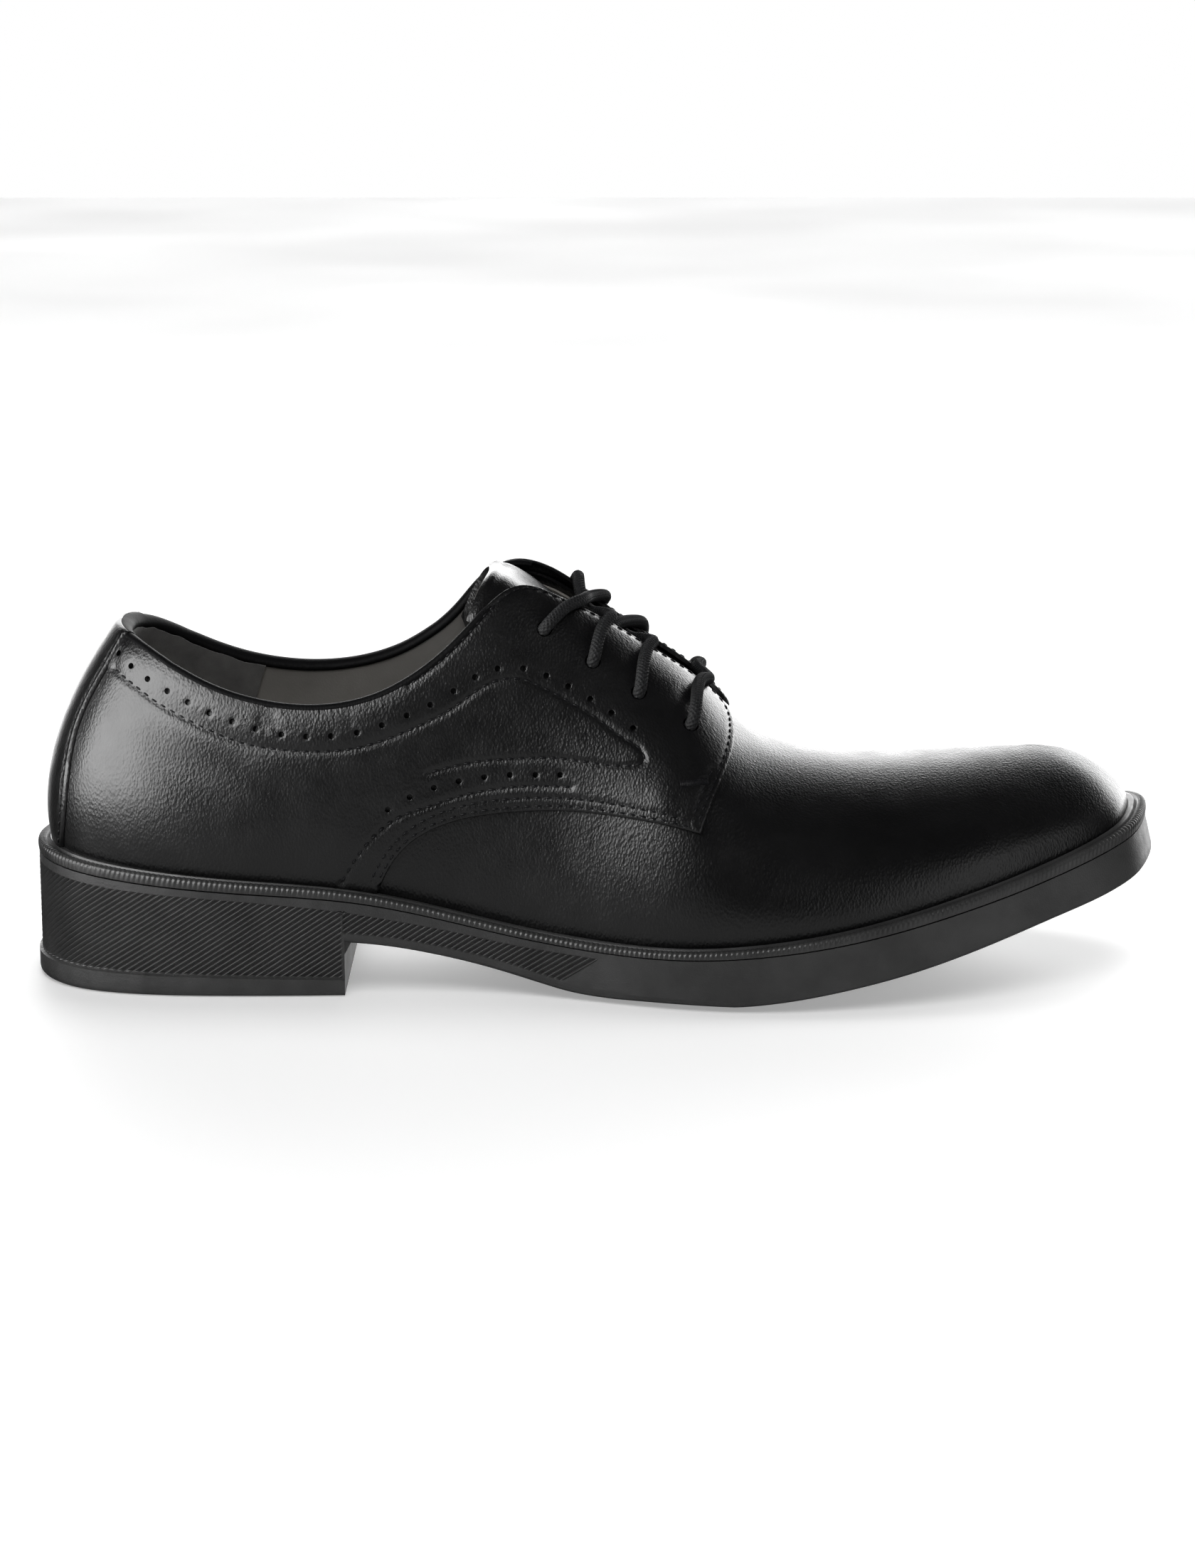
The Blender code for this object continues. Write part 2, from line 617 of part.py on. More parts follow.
def rib_lines(field):
    """Crest and valley of each rib, cut to the field and kept clear of its edge."""
    field = np.asarray(field)
    low = field[:, 1].min()
    rise = np.arange(0.0, field[:, 1].max() - low, RIB_SEARCH)
    reach = rise[-1] / RIB_SLOPE
    first = int(field[:, 0].min() // RIB_PITCH)
    last = int((field[:, 0].max() + reach) // RIB_PITCH) + 1
    for number in range(first, last):
        for share, depth in ((0.0, 0.0), (RIB_STEEP, -RIB_DEPTH)):
            line = np.stack([(number + share) * RIB_PITCH - rise / RIB_SLOPE, low + rise], axis=1)
            kept = inside(field, line) & (clearance(field, line) > RIB_FADE)
            turns = np.nonzero(np.diff(kept.astype(int)))[0] + 1
            for run in np.split(np.arange(len(line)), turns):
                if kept[run[0]] and len(run) > 3:
                    yield line[run[0]], line[run[-1]], depth


def outsole_wall(skin, x, shares, breast):
    """Side wall of the sole: meshed flat, as distance and height, and wrapped round the edge."""
    order = [(LATERAL, k) for k in range(len(x) - 1, -1, -1)] + [(MEDIAL, k) for k in range(1, len(x))]
    outline, roof, lip_foot, lip_head = [], [], [], []
    for side, k in order:
        a = wall_distance(side, shares[side][k])
        heel_z = float(edge_rise(x[k]))
        arch_z = float(sole_bottom(x[k]) + edge_rise(x[k]))
        lip_z = float(lip_top(x[k]))
        step = [(a, arch_z), (a, lip_z), (a, lip_z - LIP_STEP), (a, heel_z)]
        if k == breast:
            outline += step if side == LATERAL else step[::-1]
        else:
            outline.append((a, heel_z if k < breast else arch_z))
        if k <= breast:
            lip_foot.append((a, lip_z - LIP_STEP))
            lip_head.append((a, lip_z))
        roof.append((a, float(sole_top(x[k]))))
    under, above = rib_field()
    arch = [p for p in under if wall_x(p[0]) > BREAST_X + 1.0]
    lines = [lip_foot, lip_head, above]
    lines += [[p for p in arch if p[0] * OUTWARD_Y[side] > 0.0] for side in SIDES]
    depths = {}
    for start, end, depth in rib_lines(under + above[::-1]):
        count = int(math.ceil(np.linalg.norm(end - start) / RIB_STRIDE)) + 1
        line = [tuple(start + (end - start) * i / (count - 1)) for i in range(count)]
        depths.update({(round(a, 3), round(z, 3)): depth for a, z in line})
        lines.append(line)
    flat, triangles = triangulate(outline + roof[::-1], lines, [])

    def wrapped(place):
        a, z = place
        on_heel = wall_x(a) < BREAST_X + 0.01
        lip = LIP_OUT if on_heel and z < lip_top(wall_x(a)) - 0.5 * LIP_STEP else 0.0
        return wall_point(a, z, lip + depths.get((round(a, 3), round(z, 3)), 0.0))

    points = [wrapped(place) for place in flat]
    for triangle in triangles:
        skin.face(*(points[i] for i in triangle))


def outsole():
    """Moulded unit: side wall, rounded foot edge, heel, arch and toe spring."""
    skin = Skin()
    x, shares, breast = sole_stations()
    outsole_wall(skin, x, shares, breast)
    foot = {}
    for side in SIDES:
        heel, arch = [], []
        for k, u in enumerate(shares[side]):
            a = wall_distance(side, u)
            rise = float(edge_rise(x[k]))
            inset = float(edge_inset(x[k]))
            if k <= breast:
                heel.append([wall_point(a, share * rise, LIP_OUT - (1.0 - back) * inset)
                             for share, back in ROUND_PROFILE])
            if k >= breast:
                z = float(sole_bottom(x[k]))
                arch.append([wall_point(a, z + share * rise, (back - 1.0) * inset)
                             for share, back in ROUND_PROFILE])
        corner = arch[0][2]
        arch[0][2] = (corner[0], corner[1], corner[2] - GUSSET)
        for rows in (heel, arch):
            for ring in (0, 1):
                skin.strip([row[ring] for row in rows], [row[ring + 1] for row in rows])
        foot[side] = (heel, arch)
    for part in (0, 1):
        skin.strip(*([row[2] for row in foot[side][part]] for side in SIDES))
    breast_edge = []
    for side in SIDES:
        heel, arch = foot[side]
        a = wall_distance(side, shares[side][breast])
        lip_z = float(lip_top(BREAST_X))
        lip = [wall_point(a, lip_z - LIP_STEP, LIP_OUT), wall_point(a, lip_z, 0.0)]
        breast_edge.append(heel[-1][::-1] + lip + arch[0])
    skin.face(*(breast_edge[LATERAL] + breast_edge[MEDIAL][::-1]))
    roof = [[wall_point(wall_distance(side, u), float(z), 0.0) for u, z in zip(shares[side], sole_top(x))]
            for side in SIDES]
    skin.strip(*roof)
    return skin.make("outsole", BLACK_RUBBER)


# Welt and insole
def round_stations():
    """Sections all the way round, from the back of the heel by the outer side to the toe and back."""
    even = np.linspace(0.0, 1.0, STATIONS + 1)
    shares = even - CROWDING * np.sin(2 * np.pi * even) / (2 * np.pi)
    shares = np.sort(np.append(shares, ridge_share(np.array(THROAT_STATIONS))))
    return [(LATERAL, u) for u in shares] + [(MEDIAL, u) for u in shares[-2:0:-1]]


def welt_top(x):
    return sole_top(x) + welt_height(x)


def wall_reach(side, u, z):
    """How far the upper stands out from the edge of the sole at a height: negative, inside it."""
    x, y, nx, ny = EDGE.at(side, u)
    point = last_point(side, u, phi_at_height(side, u, z))
    return float((point[0] - x) * nx + (point[1] - y) * ny)


def welt():
    """Strip on the edge of the sole: knurled outer band, groove and bead beside the upper."""
    skin = Skin()
    rings = []
    for side, u in round_stations():
        x, y, nx, ny = (float(v) for v in EDGE.at(side, u))
        low = float(sole_top(x)) + GAP
        high = float(welt_top(x))
        inner = [wall_reach(side, u, z) + GAP for z in (low, high)]
        crown = [(out, high - drop) for out, drop in zip(WELT_CROWN["out"], WELT_CROWN["drop"])]
        profile = [(inner[0], low), (0.0, low)] + crown + [(inner[1], high)]
        rings.append([(x + nx * out, y + ny * out, z) for out, z in profile])
    rings.append(rings[0])
    for first, second in zip(rings, rings[1:]):
        skin.strip(first + first[:1], second + second[:1])
    return skin.make("welt", WELT_RUBBER)


def insole():
    """Board inside the upper, lying on the sole."""
    skin = Skin()
    edge = []
    for side, u in round_stations():
        x, y, nx, ny = (float(v) for v in EDGE.at(side, u))
        foot = float(last_point(side, u, 0.0)[2])
        out = min(wall_reach(side, u, z) for z in (foot, foot + INSOLE)) - WALL - INSOLE_GAP
        edge.append((x + nx * out, y + ny * out))
    low = [(x, y, float(sole_top(x)) + GAP) for x, y in edge]
    high = [(x, y, z + INSOLE) for x, y, z in low]
    skin.strip(low + low[:1], high + high[:1])
    half = len(edge) // 2 + 1
    for level in (low, high):
        skin.strip(level[:half], level[:1] + level[:half - 2:-1])
    return skin.make("insole", GREY_LINING)


# Upper
def even_normal(side, u, phi):
    """Outward direction, shared by both sides where their sections meet."""
    if phi >= RIDGE:
        x = ridge_place(u)
        both = np.array([ridge_z(x - 0.5) - ridge_z(x + 0.5), 0.0, 1.0])
    elif 0.0 < u < 1.0:
        return last_normal(side, u, phi)
    else:
        both = last_normal(LATERAL, u, phi) + last_normal(MEDIAL, u, phi)
    return both / np.linalg.norm(both)


def collar_height(side, x):
    return collar_line(x) + (medial_collar(x) if side == MEDIAL else 0.0)


def throat_half(x, setback):
    """Half width of the throat, which closes in a round end towards the toe; none at the heel."""
    if x < THROAT_BACK:
        return 0.0
    closing = math.sqrt(max(0.0, 2.0 * THROAT_ROUND * (THROAT_FRONT - x)))
    return min(float(facing_gap(x)) + setback, closing)


def collar_place(side, u, half):
    """Place up a section where it ends at the collar or this far from the ridge, with a soft corner."""
    phi = np.linspace(COLLAR_SEARCH_LOW, RIDGE, SEARCH_POINTS)
    points = last_point(side, np.full(SEARCH_POINTS, u), phi)
    room = np.maximum(collar_height(side, points[:, 0]) - points[:, 2], -FAR_OVER)
    if half > 0.0:
        from_ridge = np.abs(points[:, 1] - ridge_y(ridge_place(u)))
        beside = np.maximum(from_ridge - half, -FAR_OVER)
        room = -CORNER_SOFTNESS * np.log(np.exp(-room / CORNER_SOFTNESS) + np.exp(-beside / CORNER_SOFTNESS))
    over = int(np.nonzero(room < 0.0)[0][0])
    share = room[over - 1] / (room[over - 1] - room[over])
    return float(phi[over - 1] + share * (phi[over] - phi[over - 1]))


def upper():
    """Hollow shell on the last: open at the collar and throat above, and at the sole below."""
    skin = Skin()
    lines = []
    for side, u in round_stations():
        x = float(ridge_place(u))
        closed = x >= THROAT_FRONT
        top = RIDGE if closed else collar_place(side, u, throat_half(x, THROAT_SETBACK))
        tuck = float(np.interp(u, HEEL_TUCK["u"], HEEL_TUCK["deep"]))
        outer, inner = [], []
        for phi in np.linspace(0.0, top, UPPER_ROWS + 1):
            base = last_point(side, u, phi)
            normal = even_normal(side, u, phi)
            for layer, deep in ((outer, tuck), (inner, WALL + TUCK_INSIDE * tuck)):
                point = base - normal * deep
                if phi == 0.0:
                    point[2] = base[2]
                layer.append(point)
        lines.append((closed, outer, inner))
    lines.append(lines[0])
    for (closed, outer, inner), (next_closed, next_outer, next_inner) in zip(lines, lines[1:]):
        skin.strip(outer, next_outer)
        skin.strip(inner, next_inner)
        skin.face(outer[0], next_outer[0], next_inner[0], inner[0])
        if not (closed and next_closed):
            skin.face(outer[-1], next_outer[-1], next_inner[-1], inner[-1])
    return skin.make("upper", BLACK_LEATHER)


# Overlays
def seat_height(side, u):
    """Lowest level of what lies over the upper, just clear of the welt."""
    return welt_top(EDGE.at(side, u)[0]) + SEAT_GAP


def seated(points, side, u):
    """Points of an overlay, lifted where they would reach into the welt."""
    points[..., 2] = np.maximum(points[..., 2], seat_height(side, u))
    return points


def sheet(name, side, outline, low, high, finish):
    """Sheet laid over the upper inside an outline of stations and places, between two distances."""
    scale = np.array([EDGE.length(side), SHEET_RISE])
    flat_edge = np.asarray(outline) * scale
    corner = flat_edge.min(axis=0)
    count = ((flat_edge.max(axis=0) - corner) // SHEET_STEP).astype(int) + 1
    grid = np.array([corner + SHEET_STEP * np.array([i + 0.5 * (j % 2), j])
                     for i in range(count[0] + 1) for j in range(count[1] + 1)])
    kept = grid[inside(flat_edge, grid)]
    kept = kept[clearance(flat_edge, kept) > GRID_MARGIN * SHEET_STEP]
    flat, triangles = triangulate([tuple(p) for p in flat_edge], [], [tuple(p) for p in kept])
    places = flat / scale
    u, phi = places.T
    faces = [seated(offset_point(side, u, phi, np.full(len(u), out)), side, u) for out in (low, high)]
    skin = Skin()
    for layer in faces:
        for triangle in triangles:
            skin.face(*(layer[i] for i in triangle))
    for i in range(len(outline)):
        j = (i + 1) % len(outline)
        skin.face(faces[0][i], faces[0][j], faces[1][j], faces[1][i])
    return skin.make(name, finish)


def quarter_outline(side):
    """Stations and places round a quarter: collar, facing, front, foot and welt."""
    length = EDGE.length(side)
    scale = np.array([length, SHEET_RISE])
    back = QUARTER_BACK / length
    last_collar = place_from_side(side, COLLAR_END_X, float(collar_height(side, COLLAR_END_X)))[0]
    collar = [(u, collar_place(side, u, 0.0)) for u in np.linspace(back, last_collar, COLLAR_POINTS)]
    facing = [place_from_above(side, x, half) for x, half in zip(FACING_EDGE["x"], FACING_EDGE["half"])]
    front = [place_from_side(side, x, z) for x, z in zip(QUARTER_FRONT["x"], QUARTER_FRONT["z"])]
    foot = [place_from_side(side, x, z) for x, z in zip(QUARTER_FOOT["x"], QUARTER_FOOT["z"])]
    upper_edge = along(np.array(collar + facing + front) * scale, EDGE_STEP) / scale
    lower_edge = along(np.array(foot) * scale, EDGE_STEP) / scale
    seat = [(u, float(phi_at_height(side, u, seat_height(side, u))))
            for u in np.linspace(lower_edge[-1][0], back, SEAT_POINTS)[1:]]
    rise = [(back, phi) for phi in np.linspace(seat[-1][1], collar[0][1], BACK_POINTS)[1:-1]]
    return [tuple(p) for p in upper_edge] + [tuple(p) for p in lower_edge[1:]] + seat + rise


def quarter(name, side):
    low = OVERLAY_GAP
    return sheet(name, side, quarter_outline(side), low, low + QUARTER, BLACK_LEATHER)


def backstay_half(rows):
    """Half width of the backstay at rows from welt to collar, as a share of the edge of the sole."""
    heights = BACKSTAY_EDGE["z"]
    shares = np.array([place_from_side(LATERAL, x, z)[0] for x, z in zip(BACKSTAY_EDGE["x"], heights)])
    return spline(heights, shares)(np.linspace(heights[0], heights[-1], rows))


def backstay():
    """Strip over the back seam, from the welt to the collar."""
    skin = Skin()
    low = OVERLAY_GAP + QUARTER + GAP
    half = backstay_half(BACKSTAY_ROWS)
    climb = np.linspace(0.0, 1.0, BACKSTAY_ROWS)
    layers = [[], []]
    for across in np.linspace(-1.0, 1.0, BACKSTAY_COLUMNS):
        side = LATERAL if across < 0.0 else MEDIAL
        shares = abs(across) * half
        start = phi_at_height(side, shares, seat_height(side, shares))
        end = np.array([collar_place(side, u, 0.0) for u in shares])
        places = start + (end - start) * climb
        for layer, out in zip(layers, (low, low + BACKSTAY)):
            line = np.array([last_point(side, u, phi) + even_normal(side, u, phi) * out
                             for u, phi in zip(shares, places)])
            layer.append(seated(line, side, shares))
    for layer in layers:
        for first, second in zip(layer, layer[1:]):
            skin.strip(first, second)
    for i in (0, -1):
        skin.strip(layers[0][i], layers[1][i])
        skin.strip([row[i] for row in layers[0]], [row[i] for row in layers[1]])
    return skin.make("backstay", BLACK_LEATHER)


def tongue():
    """Padded tongue under the throat, its top edge swept forward at both sides."""
    skin = Skin()
    high = -(WALL + TONGUE_GAP)
    layers = [[], []]
    for share in np.linspace(0.0, 1.0, TONGUE_ROWS):
        middle = TONGUE_TOP_X + (TONGUE_FRONT_X - TONGUE_TOP_X) * share
        rows = [[], []]
        for across in np.linspace(-1.0, 1.0, TONGUE_COLUMNS):
            side = LATERAL if across < 0.0 else MEDIAL
            x = middle + TONGUE_SWEEP * (1.0 - share) ** 3 * across ** 2
            u = float(ridge_share(x))
            phi = float(phi_at_half(side, u, float(tongue_half(x)) * abs(across))) if across else RIDGE
            normal = even_normal(side, u, phi)
            face = high - TONGUE_DIP * math.sin(math.pi * share) * (1.0 - across ** 2) ** 2
            padding = TONGUE * (1.0 - TONGUE_THINNING * across ** 4)
            rows[0].append(last_point(side, u, phi) + normal * face)
            rows[1].append(last_point(side, u, phi) + normal * (face - padding))
        for layer, row in zip(layers, rows):
            layer.append(row)
    for layer in layers:
        for first, second in zip(layer, layer[1:]):
            skin.strip(first, second)
    for i in (0, -1):
        skin.strip(layers[0][i], layers[1][i])
        skin.strip([row[i] for row in layers[0]], [row[i] for row in layers[1]])
    return skin.make("tongue", BLACK_LEATHER)


# Eyelets and laces
def tube(name, path, radius, facets, finish):
    """Round rod along a path that does not run along x."""
    path = np.asarray(path)
    ahead = np.gradient(path, axis=0)
    ahead /= np.linalg.norm(ahead, axis=1)[:, None]
    across = np.cross(ahead, [1.0, 0.0, 0.0])
    across /= np.linalg.norm(across, axis=1)[:, None]
    upright = np.cross(ahead, across)
    turns = np.linspace(0.0, 2 * np.pi, facets, endpoint=False)
    rings = [[p + radius * (math.cos(t) * a + math.sin(t) * b) for t in turns]
             for p, a, b in zip(path, across, upright)]
    skin = Skin()
    for first, second in zip(rings, rings[1:]):
        skin.strip(first + first[:1], second + second[:1])
    skin.face(*rings[0])
    skin.face(*rings[-1])
    return skin.make(name, finish)


def combine(target, tool, operation):
    """Join or cut a piece with a tool that is kept only for it."""
    tool.hide_render = True
    tool.display_type = "WIRE"
    step = target.modifiers.new(tool.name, "BOOLEAN")
    step.operation = operation
    step.solver = "EXACT"
    step.object = tool


def punch_eyelets(side, pieces):
    """Round holes through a quarter and the upper under it."""
    for row, (x, z) in enumerate(zip(EYELETS["x"], EYELETS["z"])):
        u, phi = place_from_side(side, x, z)
        middle = last_point(side, u, phi)
        normal = last_normal(side, u, phi)
        path = [middle - normal * (WALL + EYELET_REACH),
                middle + normal * (OVERLAY_GAP + QUARTER + EYELET_REACH)]
        cutter = tube(f"eyelet_cutter_{side}_{row}", path, EYELET_RADIUS, EYELET_FACETS, BLACK_LEATHER)
        for piece in pieces:
            combine(piece, cutter, "DIFFERENCE")


def over_facing(side, x, half, lift):
    """Point over the upper given from above, at a height over its surface."""
    u, phi = place_from_above(side, x, half)
    return last_point(side, u, phi) + last_normal(side, u, phi) * lift


def eyelet_top(side, row):
    """Where the lace leaves an eyelet, lying on the quarter."""
    u, phi = place_from_side(side, EYELETS["x"][row], EYELETS["z"][row])
    return last_point(side, u, phi) + last_normal(side, u, phi) * LACE_LIFT


def over_edge(side, row, edge_x):
    """From an eyelet, counted from 1, over the facing's edge."""
    half = float(facing_half(edge_x))
    return [
        eyelet_top(side, int(row) - 1),
        over_facing(side, edge_x, half + EDGE_HOLD, LACE_LIFT),
        over_facing(side, edge_x, half - 0.5 * EDGE_HOLD, LACE_LIFT - EDGE_DROP),
    ]


def lace_run(name, number):
    """One run of a crossing: from its eyelet over the facing edge and across the throat."""
    run = {key: cells[number] for key, cells in LACE_RUNS.items()}
    side = int(run["side"])
    x = run["middle_x"]
    path = over_edge(side, run["row"], run["edge_x"])
    path.append(np.array([x, ridge_y(x), ridge_z(x) + run["middle_lift"]]))
    if run["end_row"]:
        path += over_edge(1 - side, run["end_row"], run["end_x"])[::-1]
    else:
        path.append(over_facing(1 - side, run["end_x"], run["end_half"], run["end_lift"]))
    return tube(name, along(path, LACE_STEP), LACE_RADIUS, LACE_FACETS, LACE_CORD)


def lace_bar():
    """Straight bar between the two lowest eyelets."""
    last = len(EYELETS["x"])
    near, far = (over_edge(side, last, BAR_EDGE_X[side]) for side in SIDES)
    return tube("lace_bar", along(near + far[::-1], LACE_STEP), LACE_RADIUS, LACE_FACETS, LACE_CORD)


def lace_crossings():
    for number in range(len(LACE_RUNS["row"]) // 2):
        crossing = lace_run(f"lace_cross_{number + 1}", 2 * number)
        combine(crossing, lace_run(f"lace_tool_{number + 1}", 2 * number + 1), "UNION")


def centre(base):
    """Move every mesh so that the middle of the base stands over the origin."""
    corners = np.array([vertex.co for vertex in base.data.vertices])
    middle = 0.5 * (corners.min(axis=0) + corners.max(axis=0))
    shift = Matrix.Translation((-middle[0], -middle[1], -corners[:, 2].min()))
    for thing in bpy.data.objects:
        thing.data.transform(shift)


def main():
    for thing in list(bpy.data.objects):
        bpy.data.objects.remove(thing, do_unlink=True)
    base = outsole()
    welt()
    insole()
    shell = upper()
    punch_eyelets(LATERAL, [quarter("quarter_lateral", LATERAL), shell])
    punch_eyelets(MEDIAL, [quarter("quarter_medial", MEDIAL), shell])
    backstay()
    tongue()
    lace_bar()
    lace_crossings()
    centre(base)


main()
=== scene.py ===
"""Looks of a plain-toe derby dress shoe, right foot, in the frame of its solids.

The toe points along +X, the outer side of the foot faces -Y, and the shoe stands on z = 0.
The tables and the shape of the last are those of the part's source, in millimetres.
"""

import math

import bmesh
import bpy
import numpy as np
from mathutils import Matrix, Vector
from mathutils.geometry import delaunay_2d_cdt


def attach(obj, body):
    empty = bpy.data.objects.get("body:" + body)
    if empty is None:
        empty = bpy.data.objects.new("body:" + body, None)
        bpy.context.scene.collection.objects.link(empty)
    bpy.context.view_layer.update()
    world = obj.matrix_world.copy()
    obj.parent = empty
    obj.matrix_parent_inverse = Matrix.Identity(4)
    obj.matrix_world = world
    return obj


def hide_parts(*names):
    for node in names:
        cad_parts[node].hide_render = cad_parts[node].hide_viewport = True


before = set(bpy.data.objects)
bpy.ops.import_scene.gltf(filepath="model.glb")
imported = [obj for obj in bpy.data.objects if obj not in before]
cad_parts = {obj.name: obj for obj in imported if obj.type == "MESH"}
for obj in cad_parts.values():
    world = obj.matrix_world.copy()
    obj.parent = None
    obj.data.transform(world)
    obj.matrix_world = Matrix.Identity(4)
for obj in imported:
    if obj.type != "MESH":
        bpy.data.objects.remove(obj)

MM = 0.001
LATERAL = 0
MEDIAL = 1
SIDES = (LATERAL, MEDIAL)
OUTWARD_Y = {LATERAL: -1.0, MEDIAL: 1.0}
RIDGE = math.pi / 2


def table(columns, *rows):
    """A short table: one array for each named column, from its rows."""
    return {name: np.array(cells, float) for name, cells in zip(columns.split(), zip(*rows))}


# Driving sizes
GAP = 0.3                 # clearance kept between neighbouring pieces
WALL = 1.9                # upper with its lining
OVERLAY_GAP = 0.45        # from the upper to a quarter laid over it
QUARTER = 1.4             # thickness of a quarter
BACKSTAY = 1.0            # thickness of the strip over the back seam
TONGUE = 3.6              # padded tongue
TONGUE_GAP = 0.7          # from the upper to the tongue under it
INSOLE = 3.0
LACE_RADIUS = 1.6
EYELET_RADIUS = 2.1

# Edge of the outsole seen from above, heel to toe on each side
LATERAL_EDGE = table(
    "x y",
    (-151.5, 0.0), (-148.6, -15.0), (-140.0, -25.8), (-124.0, -32.4), (-98.0, -34.6),
    (-70.0, -34.0), (-42.0, -33.0), (-16.0, -36.0), (5.0, -43.0), (25.0, -49.3),
    (45.0, -51.3), (70.0, -49.0), (92.0, -43.6), (110.0, -36.4), (123.0, -29.6), (135.0, -22.2),
    (143.0, -14.4), (147.8, -3.0), (149.8, 11.0),
)
MEDIAL_EDGE = table(
    "x y",
    (-151.5, 0.0), (-148.6, 14.5), (-140.0, 25.0), (-124.0, 31.4), (-98.0, 33.0),
    (-66.0, 29.6), (-32.0, 27.4), (-4.0, 34.6), (22.0, 45.6), (46.0, 50.8),
    (70.0, 51.0), (92.0, 48.0), (112.0, 42.8), (128.0, 36.4), (140.0, 28.6), (147.4, 20.0),
    (149.8, 11.0),
)

# Levels of the sole along its length: underside in front of the heel, and top under the welt
BREAST_X = -67.0
SOLE_BOTTOM = table(
    "x z",
    (-67.0, 14.4), (-56.0, 13.2), (-45.0, 11.2), (-33.0, 8.4), (-20.0, 4.6), (-8.0, 1.2),
    (4.0, 0.0), (36.0, 0.0), (50.0, 1.7), (66.0, 4.7), (84.0, 9.0), (102.0, 14.4),
    (122.0, 20.7), (140.0, 26.3), (151.0, 30.9),
)
SOLE_TOP = table(
    "x z",
    (-152.0, 33.9), (-126.0, 30.8), (-94.0, 27.9), (-64.0, 25.2), (-42.0, 20.7), (-20.0, 16.0),
    (2.0, 13.8), (22.0, 13.7), (41.0, 15.0), (68.0, 18.7), (96.0, 25.0), (126.0, 33.1),
    (145.0, 39.3), (152.0, 41.6),
)
EDGE_ROUND = table(
    "x rise inset",
    (-150.0, 1.7, 1.9), (-67.0, 1.7, 1.9), (-40.0, 1.8, 2.0), (-20.0, 2.4, 3.6), (4.0, 3.2, 9.0),
    (24.0, 3.3, 11.0), (48.0, 3.0, 9.0), (80.0, 2.6, 5.0), (110.0, 2.3, 3.0), (151.0, 2.2, 2.4),
)
TOE_FLARE = table("x out", (30.0, 0.0), (80.0, 0.4), (120.0, 1.5), (151.0, 2.6))
# Shares of rise and inset, from the wall down
ROUND_PROFILE = ((1.0, 1.0), (0.62, 0.93), (0.3, 0.7), (0.09, 0.38), (0.0, 0.0))
GUSSET = 3.5              # slope in the corner between heel breast and arch

# Ribs moulded into the side of heel and arch
RIB_PITCH = 2.27
RIB_SLOPE = math.tan(math.radians(33.0))
RIB_FRONT_TOP_X = 0.5     # front end of the ribbed field at its top and at its foot
RIB_FRONT_FOOT_X = -9.0
RIB_END_MARGIN = 0.5
RIB_EDGE_STEP = 3.0
RIB_TOP = table(
    "x z",
    (-152.0, 31.6), (-126.0, 28.6), (-104.0, 26.9), (-83.0, 25.0), (-67.0, 23.0), (-53.0, 20.4),
    (-42.0, 18.3), (-31.0, 16.0), (-20.0, 14.0), (-9.0, 12.9), (10.0, 11.6),
)
RIB_FOOT = 1.0            # above the rounded foot of the arch
LIP_TOP = table("x z", (-152.0, 6.8), (-120.0, 6.2), (-67.0, 5.0))
LIP_OUT = 0.8
LIP_STEP = 0.5

# The upper: welt inset, ridge above the foot and shape of each section.
# Stations run round the edge from the back of the heel (0) to the tip of the toe (1).
WELT_INSET = table(
    "u inset",
    (0.0, 7.8), (0.06, 7.0), (0.2, 6.0), (0.32, 5.6), (0.42, 4.8), (0.55, 4.2), (0.8, 4.3), (1.0, 5.2),
)
WELT_HEIGHT = table(
    "x z",
    (-152.0, 3.0), (-100.0, 2.8), (-60.0, 2.4), (5.0, 1.9), (45.0, 2.3), (80.0, 2.8), (150.0, 3.2),
)
RIDGE_PLACE = table(
    "u x",
    (0.0, -62.0), (0.13, -57.0), (0.25, -46.0), (0.36, -24.0), (0.45, 2.0), (0.54, 25.5),
    (0.60, 41.0), (0.66, 59.0), (0.73, 78.0), (0.80, 95.0), (0.87, 107.0), (0.94, 114.0),
    (1.0, 117.5),
)
RIDGE_LINE = table(
    "x y z",
    (-62.0, 0.0, 130.0), (-50.0, 0.0, 123.5), (-40.0, 0.0, 118.6), (-29.0, 0.0, 113.6),
    (-20.0, 1.2, 110.2), (-10.0, 1.4, 104.6), (2.0, 1.6, 97.0), (14.0, 2.0, 88.6),
    (24.0, 2.6, 81.6), (30.0, 3.1, 76.4), (36.0, 3.6, 70.4), (43.0, 4.2, 64.9), (52.0, 4.9, 60.9),
    (62.0, 5.6, 58.7), (75.0, 6.4, 57.7), (90.0, 7.2, 57.9), (105.0, 7.8, 58.7),
    (117.5, 8.2, 59.2),
)
# Fullness and swell of the outer and the inner side, height of the swell, and how far the section
# bends forward in plan (1) instead of leaning as a flat cut (0).
SECTION = table(
    "u full_lateral full_medial swell_lateral swell_medial peak bend",
    (0.0, 2.0, 2.0, 3.2, 3.2, 0.25, 1.0), (0.13, 2.05, 2.05, 3.4, 3.4, 0.25, 1.0),
    (0.25, 2.4, 2.6, 2.8, 3.6, 0.26, 0.5), (0.36, 3.4, 4.6, 1.8, 5.0, 0.28, 0.0),
    (0.42, 3.1, 4.4, 2.0, 5.4, 0.29, 0.0), (0.48, 2.7, 3.3, 2.2, 4.6, 0.30, 0.0),
    (0.54, 2.5, 2.7, 2.4, 3.4, 0.31, 0.2), (0.60, 2.3, 2.4, 2.4, 2.6, 0.33, 0.5),
    (0.66, 2.2, 2.2, 2.2, 2.2, 0.35, 0.8), (0.80, 2.2, 2.2, 2.0, 2.0, 0.38, 1.0),
    (1.0, 2.1, 2.1, 1.0, 1.0, 0.38, 1.0),
)

